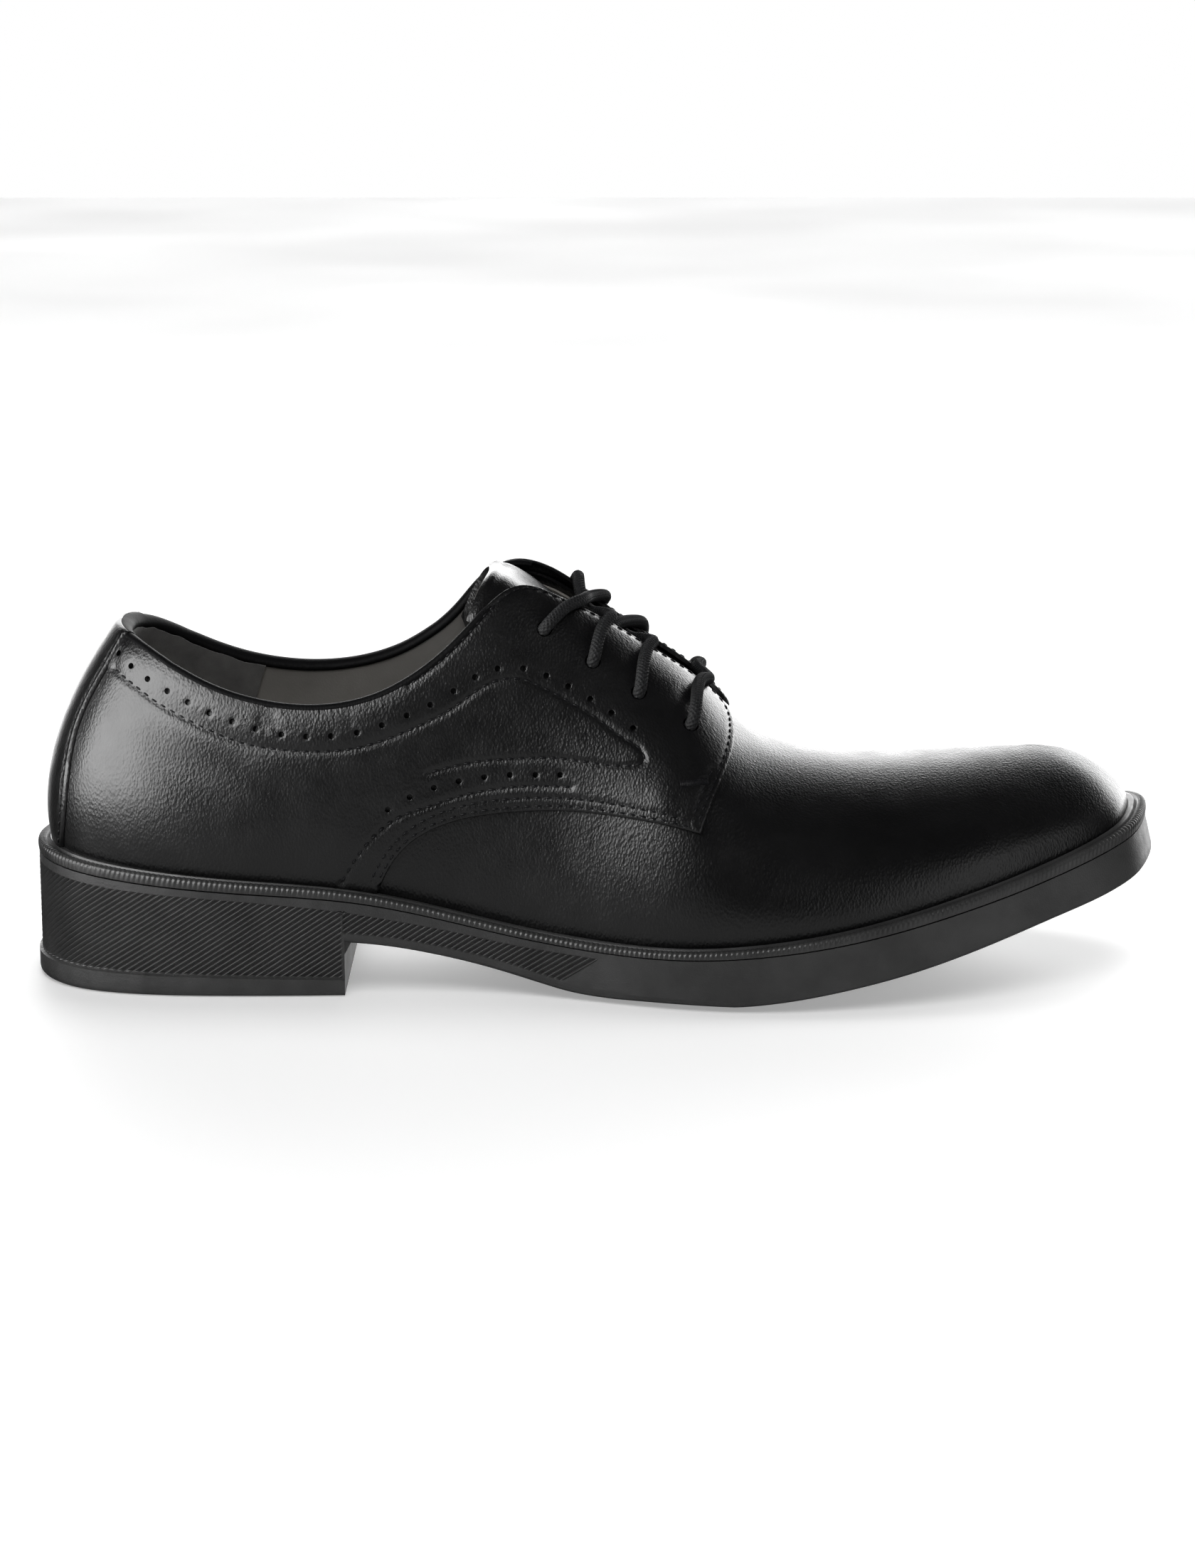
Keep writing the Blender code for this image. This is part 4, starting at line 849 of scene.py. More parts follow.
def suede():
    n = Nodes("heel_grip_suede", (0.030, 0.030, 0.030), 0.95)
    nap = n.noise(2600.0, 4.0, None, 0.7)
    n.bump(nap, 0.00025, 0.6)
    n.colours(n.noise(170.0, 5.0), (0.065, 0.063, 0.061), (0.115, 0.112, 0.107))
    n.set("Sheen Weight", 0.5)
    n.set("Sheen Roughness", 0.5)
    return n.made


def thread():
    n = Nodes("stitch_thread", (0.016, 0.016, 0.017), 0.42)
    n.bump(n.noise(4200.0, 2.0), 0.00005, 0.5)
    n.colours(n.noise(400.0, 2.0), (0.005, 0.005, 0.006), (0.011, 0.011, 0.012))
    n.set("Specular IOR Level", 0.12)
    return n.made


def cord_fabric():
    n = Nodes("lace_braid", (0.020, 0.021, 0.023), 0.7)
    n.bump(n.noise(5200.0, 3.0), 0.00009, 0.7)
    n.colours(n.noise(1500.0, 3.0), (0.004, 0.0042, 0.0046), (0.014, 0.0145, 0.016))
    n.set("Specular IOR Level", 0.4)
    n.set("Sheen Weight", 0.02)
    return n.made


LEATHER = leather("black_leather_grain", 0.32, 0.12, 0.5, 0.31)
RIM_LEATHER = leather("black_leather_edge", 0.2, 0.0, 0.06, 0.55)
RUBBER = rubber("black_rubber_moulded", 0.45, 0.6)
WELT = rubber("welt_rubber_satin", 0.36, 0.15)
LINING = lining_leather()
SUEDE = suede()
THREAD = thread()
CORD = cord_fabric()


# Mesh helpers
# Angles in degrees above which an edge stays sharp
SHARP_RIBS = 24.0
SHARP_SOLE = 28.0
SHARP_SHELL = 42.0
SHARP_WELT = 50.0
SHARP_QUARTER = 55.0
SHARP_SHEET = 60.0
SHARP_RIM = 70.0
SHARP_LACE = 80.0


def piece(name, points, faces, finish, nodes=(), smooth_angle=SHARP_SHELL):
    """A closed mesh in the row frame that rides on the shoe and may stand for CAD nodes."""
    mesh = bpy.data.meshes.new(name)
    placed = (np.asarray(points, float) + ROW_SHIFT) * MM
    mesh.from_pydata(placed.tolist(), [], [list(map(int, face)) for face in faces])
    shape = bmesh.new()
    shape.from_mesh(mesh)
    bmesh.ops.remove_doubles(shape, verts=shape.verts[:], dist=MERGE)
    bmesh.ops.recalc_face_normals(shape, faces=shape.faces[:])
    if shape.calc_volume(signed=True) < 0.0:
        bmesh.ops.reverse_faces(shape, faces=shape.faces[:])
    shape.to_mesh(mesh)
    shape.free()
    mesh.shade_smooth()
    mesh.set_sharp_from_angle(angle=math.radians(smooth_angle))
    mesh.materials.append(finish)
    thing = bpy.data.objects.new(name, mesh)
    bpy.context.scene.collection.objects.link(thing)
    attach(thing, "root")
    if nodes:
        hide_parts(*nodes)
    return thing


def grid_faces(rows, columns, start=0, closed_rows=False, closed_columns=False):
    """Quads of a grid whose points are stored row by row."""
    r = np.arange(rows if closed_rows else rows - 1)
    c = np.arange(columns if closed_columns else columns - 1)
    r, c = (v.ravel() for v in np.meshgrid(r, c, indexing="ij"))
    below = (r + 1) % rows
    right = (c + 1) % columns
    corners = [r * columns + c, r * columns + right, below * columns + right, below * columns + c]
    return (start + np.stack(corners, axis=1)).tolist()


def tube_faces(rings, columns):
    """Faces of a tube with both ends closed, its rings stored one after another."""
    ends = [list(range(columns)), list(range((rings - 1) * columns, rings * columns))]
    return grid_faces(rings, columns, 0, False, True) + ends


def slab(outer, inner):
    """Points and faces of a closed sheet between two grids of equal shape."""
    rows, columns = outer.shape[:2]
    count = rows * columns
    points = np.concatenate([outer.reshape(-1, 3), inner.reshape(-1, 3)])
    faces = grid_faces(rows, columns) + grid_faces(rows, columns, count)
    index = np.arange(count).reshape(rows, columns)
    for line in (index[0], index[-1], index[:, 0], index[:, -1]):
        faces += np.stack([line[:-1], line[1:], line[1:] + count, line[:-1] + count], axis=1).tolist()
    return points, faces


def smooth_normals(side, u, phi):
    """Outward directions, shared by both sides where their sections meet."""
    u, phi = np.broadcast_arrays(np.asarray(u, float), np.asarray(phi, float))
    normal = last_normal(side, u, phi)
    seam = (u <= 0.0) | (u >= 1.0)
    normal = np.where(seam[..., None], normal + last_normal(1 - side, u, phi), normal)
    x = ridge_place(u)
    crest = np.stack([ridge_z(x - 0.5) - ridge_z(x + 0.5), np.zeros_like(x), np.ones_like(x)], axis=-1)
    normal = np.where((phi >= RIDGE - 1e-9)[..., None], crest, normal)
    return unit(normal)


def line_distance(points, line):
    """Distance of each point from a line of close points."""
    best = np.empty(len(points))
    for start in range(0, len(points), DISTANCE_BATCH):
        part = slice(start, start + DISTANCE_BATCH)
        best[part] = np.linalg.norm(points[part][:, None, :] - line[None, :, :], axis=2).min(axis=1)
    return best


def eased(share):
    """Share of a change, from 0 to 1, that starts and ends softly."""
    share = np.clip(share, 0.0, 1.0)
    return share * share * (3.0 - 2.0 * share)


def frames_along(path, guide):
    """Forward, sideways and upward directions along a path, with a guide for up."""
    ahead = unit(np.gradient(path, axis=0))
    aside = unit(np.cross(guide, ahead))
    return ahead, aside, np.cross(ahead, aside)


# Outsole
TREAD_STEPS = 250
TREAD_COLUMNS = 70
TREAD_MARGIN = 0.11       # plain rim of the tread, as a share of the width
TREAD_DEPTH = 1.1
TREAD_PITCH = 7.5
TREAD_BENDS = 6.0         # of a zigzag across the width
TREAD_ZIGZAG = 5.0
GROOVE_START = 0.74       # share of half a pitch where the side of a groove starts, and its width
GROOVE_SIDE = 0.12
MARGIN_FADE = 0.03        # the grooves run out over this share of the width
END_FADE = 3.0            # and over these lengths at both ends and at the waist
WAIST_FADE = 4.0
TREAD_BACK_X = -140.0
TREAD_FRONT_X = 138.0
WAIST_X = -47.0           # middle of the plain waist, and half its length
WAIST_HALF = 26.0


def tread_depth(x, share):
    """Shallow zigzag grooves in the flat parts of the underside, inside a plain rim."""
    zigzag = np.abs((share * TREAD_BENDS) % 2.0 - 1.0) * TREAD_ZIGZAG
    groove = np.clip(np.abs(((x + zigzag) / TREAD_PITCH) % 1.0 - 0.5) * 2.0, 0.0, 1.0)
    inner = np.clip((np.minimum(share, 1.0 - share) - TREAD_MARGIN) / MARGIN_FADE, 0.0, 1.0)
    back = np.clip((x - TREAD_BACK_X) / END_FADE, 0.0, 1.0)
    ends = back * np.clip((TREAD_FRONT_X - x) / END_FADE, 0.0, 1.0)
    waist = np.clip((np.abs(x - WAIST_X) - WAIST_HALF) / WAIST_FADE, 0.0, 1.0)
    return TREAD_DEPTH * np.clip((groove - GROOVE_START) / GROOVE_SIDE, 0.0, 1.0) * inner * ends * waist


def underside(skin, edges, steps):
    """Rows across the underside between its two edges, with the tread pressed in."""
    low, high = (np.array(edge) for edge in edges)
    place = np.linspace(0.0, len(low) - 1.0, steps)
    place = np.unique(np.concatenate([place, np.arange(len(low))]))
    index = np.arange(len(low))
    share = np.linspace(0.0, 1.0, TREAD_COLUMNS)
    sides = [read_along(place, index, edge) for edge in (low, high)]
    grid = sides[0][:, None, :] * (1.0 - share)[None, :, None] + sides[1][:, None, :] * share[None, :, None]
    grid[..., 2] += tread_depth(grid[..., 0], np.broadcast_to(share, grid.shape[:2]))
    first = len(skin.points)
    skin.points += grid.reshape(-1, 3).tolist()
    skin.faces += grid_faces(len(place), TREAD_COLUMNS, first)


def wall_points(a, z, out):
    """Points of the side wall for arrays of distance round the edge, height and offset."""
    points = np.empty(a.shape + (3,))
    for side in SIDES:
        held = (a < 0.0) if side == LATERAL else (a >= 0.0)
        x, y, nx, ny = EDGE.at(side, np.minimum(np.abs(a[held]) / EDGE.length(side), 1.0))
        points[held] = np.stack([x + nx * out[held], y + ny * out[held], z[held]], axis=-1)
    return points


def rib_fields():
    """Outlines of the ribbed fields of heel and arch, as distance round the edge and height."""
    fields = []
    heel_under, heel_above = [], []
    for side in SIDES:
        def spread(first_x, last_x):
            ends = [wall_distance(side, float(EDGE.share_at_x(side, x))) for x in (first_x, last_x)]
            return np.linspace(*ends, int(abs(ends[1] - ends[0]) / RIB_EDGE_STEP) + 1)

        turn_x = BREAST_X - RIB_END_MARGIN
        heel = spread(LATERAL_EDGE["x"][0], turn_x)
        heel_under.append([(a, float(lip_top(wall_x(a)))) for a in heel])
        heel_above.append([(a, float(rib_top(wall_x(a)))) for a in heel])
        under = [(a, float(sole_bottom(max(wall_x(a), BREAST_X)) + edge_rise(wall_x(a))) + RIB_FOOT)
                 for a in spread(turn_x, RIB_FRONT_FOOT_X)]
        above = [(a, float(rib_top(wall_x(a)))) for a in spread(turn_x, RIB_FRONT_TOP_X)]
        fields.append(np.array(under + above[::-1]))
    lower = heel_under[LATERAL][::-1] + heel_under[MEDIAL][1:]
    upper_line = heel_above[LATERAL][::-1] + heel_above[MEDIAL][1:]
    fields.append(np.array(lower + upper_line[::-1]))
    return fields


# Section across one rib: place as a share of the pitch, and height
RIB_SECTION = table(
    "share height",
    (0.0, 0.0), (0.06, -0.06), (0.14, -0.5), (0.20, -0.74), (0.28, -0.75), (0.55, -0.46), (0.85, -0.12),
    (0.95, -0.01),
)
RIB_SAMPLES = 420
RIB_LEAST = 6             # a line across the field with no more samples than this is left out
RIB_ROWS = 16
RIB_ROOT = -1.15
RIB_CREST = 0.05
RIB_END_ROWS = (0.0, 0.12, 0.3)   # close to both ends, over which a rib fades out
RIB_END_SHARES = (0.0, 0.2, 0.4)  # and at most these shares of half its height
RIB_SINK = -0.9           # the wall lies this deep under the ribs
WALL_STEP = 2.4
WALL_MARGIN = 0.7
FIELD_MARGIN = 1.0
SINK_MARGIN = 0.25        # inside the edge of a field, where the wall is sunk
FIELD_STEP = 1.2          # points of the wall beside that edge: spacing, distances and clearance
FIELD_ROWS = (-0.45, -0.1, 0.1, 0.45)
FIELD_CLEARANCE = 0.08


def rib_band(name, field):
    """Slanting ribs that fill a field of the side wall, each with a steep and a flat flank."""
    low = field[:, 1].min()
    rise = np.linspace(0.0, field[:, 1].max() - low, RIB_SAMPLES)
    first = int(field[:, 0].min() // RIB_PITCH)
    last = int((field[:, 0].max() + rise[-1] / RIB_SLOPE) // RIB_PITCH) + 1
    number = np.repeat(np.arange(first, last), len(RIB_SECTION["share"]))
    shares = np.tile(RIB_SECTION["share"], last - first)
    heights = np.tile(RIB_SECTION["height"], last - first)
    start = (number + shares) * RIB_PITCH
    level = np.broadcast_to(low + rise, (len(start), RIB_SAMPLES))
    grid = np.stack([start[:, None] - rise[None, :] / RIB_SLOPE, level], axis=-1)
    held = inside(field, grid.reshape(-1, 2)).reshape(grid.shape[:2])
    columns = []
    for i in np.nonzero(held.sum(axis=1) > RIB_LEAST)[0]:
        spots = np.nonzero(held[i])[0]
        ends = low + rise[spots[0]], low + rise[spots[-1]]
        room = 0.5 * (ends[1] - ends[0])
        edge = np.minimum(RIB_END_ROWS, room * np.array(RIB_END_SHARES))
        inner = np.linspace(ends[0] + edge[2], ends[1] - edge[2], RIB_ROWS - 4)
        z = np.concatenate([ends[0] + edge[:2], inner, ends[1] - edge[1::-1]])
        fade = np.clip(np.minimum(z - ends[0], ends[1] - z) / RIB_END_ROWS[2], 0.0, 1.0)
        a = start[i] - (z - low) / RIB_SLOPE
        columns.append((a, z, RIB_CREST + heights[i] * fade))
    a, z, out = (np.array([column[k] for column in columns]) for k in range(3))
    points, faces = slab(wall_points(a, z, out), wall_points(a, z, np.full(a.shape, RIB_ROOT)))
    return piece(name, points, faces, RUBBER, (), SHARP_RIBS)


def sole_wall(skin, x, shares, breast, fields):
    """Side wall of the sole, sunk under the ribbed fields."""
    order = [(LATERAL, k) for k in range(len(x) - 1, -1, -1)] + [(MEDIAL, k) for k in range(1, len(x))]
    outline, roof, lip_foot, lip_head = [], [], [], []
    for side, k in order:
        a = wall_distance(side, shares[side][k])
        heel_z = float(edge_rise(x[k]))
        arch_z = float(sole_bottom(x[k]) + edge_rise(x[k]))
        lip_z = float(lip_top(x[k]))
        step = [(a, arch_z), (a, lip_z), (a, lip_z - LIP_STEP), (a, heel_z)]
        if k == breast:
            outline += step if side == LATERAL else step[::-1]
        else:
            outline.append((a, heel_z if k < breast else arch_z))
        if k <= breast:
            lip_foot.append((a, lip_z - LIP_STEP))
            lip_head.append((a, lip_z))
        roof.append((a, float(sole_top(x[k]))))
    border = np.array(outline + roof[::-1])
    even = well_inside(border, spaced_grid(border, WALL_STEP), WALL_MARGIN)
    for field in fields:
        even = even[~inside(field, even) & (clearance(field, even) > FIELD_MARGIN)]
    loose = sunk_points(fields, border) + [tuple(p) for p in even]
    flat, triangles = triangulate(outline + roof[::-1], [lip_foot, lip_head], loose)
    sunk = np.zeros(len(flat), bool)
    for field in fields:
        sunk |= inside(field, flat) & (clearance(field, flat) > SINK_MARGIN)
    points = []
    for (a, z), deep in zip(flat, sunk):
        on_heel = wall_x(a) < BREAST_X + 0.01
        lip = LIP_OUT if on_heel and z < lip_top(wall_x(a)) - 0.5 * LIP_STEP else 0.0
        points.append(wall_point(a, z, lip + (RIB_SINK if deep else 0.0)))
    for triangle in triangles:
        skin.face(*(points[i] for i in triangle))


def sunk_points(fields, outline):
    """Points close to both sides of the edges of the fields."""
    points = []
    for field in fields:
        ring = np.concatenate([field, field[:1]])
        reach = running_length(ring)
        spots = np.linspace(0.0, reach[-1], int(reach[-1] / FIELD_STEP))
        fine = read_along(spots, reach, ring)
        beside = turned_right(unit(np.gradient(fine, axis=0)))
        for distance in FIELD_ROWS:
            row = fine + beside * distance
            row = row[inside(outline, row) & (clearance(outline, row) > FIELD_CLEARANCE)]
            points += [tuple(p) for p in row]
    return points


def outsole_skin():
    """Moulded unit: side wall, rounded foot edge, heel, arch, toe spring and tread."""
    skin = Skin()
    x, shares, breast = sole_stations()
    fields = rib_fields()
    sole_wall(skin, x, shares, breast, fields)
    for name, field in zip(("arch_ribs_lateral", "arch_ribs_medial", "heel_ribs"), fields):
        rib_band(name, field)
    foot = {}
    for side in SIDES:
        heel, arch = [], []
        for k, u in enumerate(shares[side]):
            a = wall_distance(side, u)
            rise = float(edge_rise(x[k]))
            inset = float(edge_inset(x[k]))
            if k <= breast:
                heel.append([wall_point(a, share * rise, LIP_OUT - (1.0 - back) * inset)
                             for share, back in ROUND_PROFILE])
            if k >= breast:
                z = float(sole_bottom(x[k]))
                arch.append([wall_point(a, z + share * rise, (back - 1.0) * inset)
                             for share, back in ROUND_PROFILE])
        corner = arch[0][-1]
        arch[0][-1] = (corner[0], corner[1], corner[2] - GUSSET)
        for rows in (heel, arch):
            for ring in range(len(ROUND_PROFILE) - 1):
                skin.strip([row[ring] for row in rows], [row[ring + 1] for row in rows])
        foot[side] = (heel, arch)
    for part in (0, 1):
        underside(skin, [[row[-1] for row in foot[side][part]] for side in SIDES], TREAD_STEPS)
    breast_edge = []
    for side in SIDES:
        heel, arch = foot[side]
        a = wall_distance(side, shares[side][breast])
        lip_z = float(lip_top(BREAST_X))
        lip = [wall_point(a, lip_z - LIP_STEP, LIP_OUT), wall_point(a, lip_z, 0.0)]
        breast_edge.append(heel[-1][::-1] + lip + arch[0])
    lateral, medial = breast_edge
    share = np.linspace(0.0, 1.0, TREAD_COLUMNS)[1:-1]
    lower, higher = ([tuple(np.array(lateral[end]) * (1 - s) + np.array(medial[end]) * s) for s in share]
                     for end in (0, -1))
    skin.face(*(lateral + higher + medial[::-1] + lower[::-1]))
    roof = [[wall_point(wall_distance(side, u), float(z), 0.0) for u, z in zip(shares[side], sole_top(x))]
            for side in SIDES]
    skin.strip(*roof)
    return piece("outsole_skin", skin.points, skin.faces, RUBBER, ["outsole"], SHARP_SOLE)


# Welt
KNURL_PITCH = 1.37
KNURL_SLANT = 0.55        # of a pitch, from the foot of the knurled band to its top
KNURL_DEPTH = 0.42
KNURL_BAND = 2.4          # width of the knurled band
KNURL_TOP = 1.4           # how much deeper it is on the top
WELT_SHOULDER = 1.0       # drop below which the knurl only goes inward
WELT_ROOM = 0.9           # share of the height that the profile may take
FOOT_DROP = 8.8           # rows with a larger drop lie a step further down
FOOT_STEP = 0.1
WELT_FOOT = 0.1           # the welt starts this far above the sole, and ends this far above its height
WELT_RISE = 0.35
WELT_CLEARANCE = 0.1      # kept between its inner edge and the upper
BEAD_RISE = 0.15          # round top of the bead beside the upper
# Profile of the welt: distance out from the sole's edge, drop from its top, share of the knurl
WELT_PROFILE = table(
    "out drop knurl",
    (-0.35, 9.0, 0.0), (0.10, 8.6, 0.0), (0.25, 1.9, 0.5), (0.25, 1.2, 1.0), (0.10, 0.55, 1.0),
    (-0.45, 0.10, 1.0), (-1.2, 0.0, 1.0), (-1.9, 0.12, 0.8), (-2.35, 0.7, 0.0), (-2.6, 0.95, 0.0),
    (-2.85, 0.6, 0.0), (-3.1, 0.05, 0.0),
)


def welt_skin():
    """Knurled strip on the sole's edge, with a groove and a bead beside the upper."""
    rings = []
    for side in SIDES:
        length = EDGE.length(side)
        count = int(round(length / WELT_STEP))
        u = np.linspace(0.0, 1.0, count + 1)
        if side == MEDIAL:
            u = u[-2:0:-1]
        x, y, nx, ny = EDGE.at(side, u)
        low = sole_top(x) + WELT_FOOT
        high = welt_top(x) + WELT_RISE
        reach = []
        for height in (low, high):
            point = last_point(side, u, phi_at_height(side, u, height))
            reach.append((point[:, 0] - x) * nx + (point[:, 1] - y) * ny + WELT_CLEARANCE)
        inner_low, inner_high = reach
        run = u * length * OUTWARD_Y[side]
        for i in range(len(u)):
            room = high[i] - low[i]
            profile = []
            for out, drop, knurl in zip(*WELT_PROFILE.values()):
                most = room * WELT_ROOM + FOOT_STEP * (drop > FOOT_DROP)
                z = max(high[i] - min(drop, most), low[i])
                turn = (run[i] / KNURL_PITCH + KNURL_SLANT * (out - drop) / KNURL_BAND) % 1.0
                bead = KNURL_DEPTH * knurl * (abs(math.sin(math.pi * turn)) - 1.0)
                lean = 1.0 if drop > WELT_SHOULDER else 0.5
                profile.append((out + bead * lean, z + bead * (1.0 - lean) * KNURL_TOP))
            profile.append((0.5 * (inner_high[i] + WELT_PROFILE["out"][-1]), high[i] + BEAD_RISE))
            profile.append((inner_high[i], high[i] - BEAD_RISE))
            profile.append((inner_low[i], low[i]))
            rings.append([(x[i] + nx[i] * out, y[i] + ny[i] * out, z) for out, z in profile])
    points = np.array(rings)
    faces = grid_faces(points.shape[0], points.shape[1], 0, True, True)
    return piece("welt_skin", points.reshape(-1, 3), faces, WELT, ["welt"], SHARP_WELT)


# Upper, lining and insole
def shell_stations(count):
    even = np.linspace(0.0, 1.0, count + 1)
    shares = even - CROWDING * np.sin(2 * np.pi * even) / (2 * np.pi)
    return [(LATERAL, u) for u in shares] + [(MEDIAL, u) for u in shares[-2:0:-1]]


def lowered(side, u, phi, drop):
    """Place a distance further down a section."""
    step = 0.01
    length = np.linalg.norm(last_point(side, u, phi) - last_point(side, u, phi - step))
    return phi - drop * step / length


def shell(name, stations, rows, outer_out, inner_out, finish, nodes=(), setback=THROAT_SETBACK,
          drop=0.0):
    """Hollow skin round the last between two distances, open at collar, throat and sole."""
    layers = {outer_out: [], inner_out: []}
    closed = []
    for side, u in stations:
        x = float(ridge_place(u))
        shut = x >= THROAT_FRONT
        closed.append(shut)
        top = RIDGE if shut else lowered(side, u, collar_place(side, u, throat_half(x, setback)), drop)
        phi = np.linspace(0.0, top, rows)
        line = last_point(side, np.full(rows, u), phi)
        normal = smooth_normals(side, np.full(rows, u), phi)
        for out, layer in layers.items():
            moved = line + normal * out
            moved[0, 2] = line[0, 2]
            layer.append(moved)
    outer, inner = (np.array(layer) for layer in layers.values())
    count = len(stations)
    points = np.concatenate([outer.reshape(-1, 3), inner.reshape(-1, 3)])
    faces = grid_faces(count, rows, 0, True) + grid_faces(count, rows, count * rows, True)
    for i in range(count):
        j = (i + 1) % count
        for row in (0, rows - 1):
            if row and closed[i] and closed[j]:
                continue
            a = i * rows + row
            b = j * rows + row
            faces.append([a, b, b + count * rows, a + count * rows])
    return piece(name, points, faces, finish, nodes)


GRIP_LOW = 0.12           # place up a section where the suede starts
GRIP_LEVEL = 60.0         # height at which its front end is measured
GRIP_DROP = 1.6 * LINING_DROP
FUZZ = ((0.18, 37.0), (0.12, 113.0))   # uneven top edge: heights and waves
FUZZ_SPREAD = 90.0


def heel_grip():
    """Suede lining round the back of the heel, ending at an upright seam."""
    columns = 110
    rows = 34
    shares = [float(place_from_side(side, GRIP_FRONT_X, GRIP_LEVEL)[0]) for side in SIDES]
    outer, inner = [], []
    for place in np.linspace(-shares[LATERAL], shares[MEDIAL], columns):
        side = LATERAL if place < 0.0 else MEDIAL
        u = abs(place)
        phi = np.linspace(GRIP_LOW, lowered(side, u, collar_place(side, u, 0.0), GRIP_DROP), rows)
        line = last_point(side, np.full(rows, u), phi)
        normal = smooth_normals(side, np.full(rows, u), phi)
        fuzz = sum(height * np.sin(wave * place * FUZZ_SPREAD) for height, wave in FUZZ)
        line[-1] += unit(line[-1] - line[-2]) * fuzz
        outer.append(line + normal * (LINING_INNER - 0.02))
        inner.append(line + normal * GRIP_INNER)
    points, faces = slab(np.array(outer), np.array(inner))
    return piece("heel_grip", points, faces, SUEDE)


# Rounded edge of the sock: inset and height
SOCK_EDGE = ((0.0, 0.0), (0.0, INSOLE - 0.7), (0.25, INSOLE - 0.2), (0.8, INSOLE))


def insole_skin():
    """Sock over the insole board, its edge rounded."""
    rings = []
    for inset, level in SOCK_EDGE:
        ring = []
        for side, u in shell_stations(LINING_STATIONS):
            x, y, nx, ny = (float(v) for v in EDGE.at(side, u))
            foot = float(last_point(side, u, 0.0)[2])
            out = min(wall_reach(side, u, z) for z in (foot, foot + INSOLE)) - WALL - INSOLE_GAP - inset
            px, py = x + nx * out, y + ny * out
            ring.append((px, py, float(sole_top(px)) + GAP + level))
        rings.append(ring)
    count = len(rings[0])
    points = np.array(rings)
    faces = grid_faces(len(rings), count, 0, False, True)
    half = count // 2
    for ring in (0, len(rings) - 1):
        start = ring * count
        for i in range(half):
            corners = (i, i + 1, (count - i - 1) % count, (count - i) % count)
            faces.append(list(dict.fromkeys(start + corner for corner in corners)))
    return piece("insole_skin", points.reshape(-1, 3), faces, LINING, ["insole"])


# Quarters
HOLE_FACETS = 14
HOLE_RIM = 0.4            # a second ring of points lies this far outside a hole
EYELET_FACETS = 24
EYELET_RIM = 0.5
RIM_MARGIN = 0.3          # clearances of the points that fill the quarter
COARSE_MARGIN = 1.1
FINE_MARGIN = 0.85
EDGE_ROWS = (0.22, 0.6)   # rows of points close to the edge
DEEP_ROWS = 2             # the first rows of stitches are the decorative ones and lie deeper
CHANNEL_DEPTHS = (0.3, 0.22)
CHANNEL_WIDTH = 0.75
STITCH_DEPTHS = (0.2, 0.1)
BANK = 0.03               # leather pushed up beside a row of stitches
BANK_PLACE = 2.0
PADDING = 0.5             # soft collar above the decorative row
PADDING_EDGE = 4.5
PADDING_FRONT_X = -30.0
PADDING_FADE = 25.0
HOLE_DIMPLE = 0.12
DIMPLE_WIDTH = 0.3
FOLD_FADE = 0.8


def flat_scale(side):
    """Millimetres for each unit of a place on the last."""
    return np.array([EDGE.length(side), SHEET_RISE])


def on_last(side, places):
    return last_point(side, places[:, 0], places[:, 1])


def surface_line(side, rows, spacing=0.6):
    """Places on the last of a smooth line given as seen from the side."""
    scale = flat_scale(side)
    return along(np.array(places_from_side(side, rows)) * scale, spacing) / scale


def inset_line(places, side, distance):
    """Line beside an edge of the quarter, on its inner side."""
    scale = flat_scale(side)
    flat = places * scale
    return (flat + turned_right(unit(np.gradient(flat, axis=0))) * distance) / scale


def quarter_edges(side):
    """Edges of a quarter as places on the last: collar to front, foot, and along the welt."""
    scale = flat_scale(side)
    back = QUARTER_BACK / EDGE.length(side)
    last_collar = place_from_side(side, COLLAR_END_X, float(collar_height(side, COLLAR_END_X)))[0]
    collar = [(u, collar_place(side, u, 0.0)) for u in np.linspace(back, last_collar, COLLAR_POINTS)]
    facing = [place_from_above(side, x, half) for x, half in zip(FACING_EDGE["x"], FACING_EDGE["half"])]
    front = places_from_side(side, QUARTER_FRONT)
    top = along(np.array(collar + facing + front) * scale, EDGE_STEP) / scale
    low = surface_line(side, QUARTER_FOOT, EDGE_STEP)
    seat = np.array([(u, float(phi_at_height(side, u, seat_height(side, u))))
                     for u in np.linspace(low[-1][0], back, SEAT_POINTS)[1:]])
    rise = np.linspace(seat[-1], top[0], BACK_POINTS)[1:-1]
    return top, low, np.concatenate([seat, rise])


def flat_circle(side, place, radius, corners):
    """Round hole about a place on the last."""
    u, phi = place
    step = 1e-4
    forward = last_point(side, u + step, phi) - last_point(side, u - step, phi)
    upward = last_point(side, u, phi + step) - last_point(side, u, phi - step)
    across = np.stack([forward, upward], axis=1) / (2 * step)
    turned = np.linalg.inv(np.linalg.qr(across)[1])
    angles = np.linspace(0.0, 2 * np.pi, corners, endpoint=False)
    ring = radius * np.stack([np.cos(angles), np.sin(angles)], axis=1)
    return np.array(place) + ring @ turned.T


def stitch_lines(side):
    """Places on the last of every row of stitches on a quarter."""
    top, low, _ = quarter_edges(side)
    points = on_last(side, top)
    away = np.abs(points[:, 2] - BAR_TACK["z"][2]) + ELSEWHERE * (points[:, 0] < TACK_BACK_X)
    tack = int(np.argmin(away))
    lines = [surface_line(side, COLLAR_STITCH), surface_line(side, LOWER_STITCH)]
    start = int(np.argmax(points[:, 0] > EDGE_ROW_X))
    lines.append(inset_line(top, side, EDGE_ROW)[start:-2])
    lines.append(inset_line(top, side, FRONT_ROW)[tack:-3])
    for distance in FOOT_ROWS:
        lines.append(inset_line(low, side, distance)[3:])
    return lines


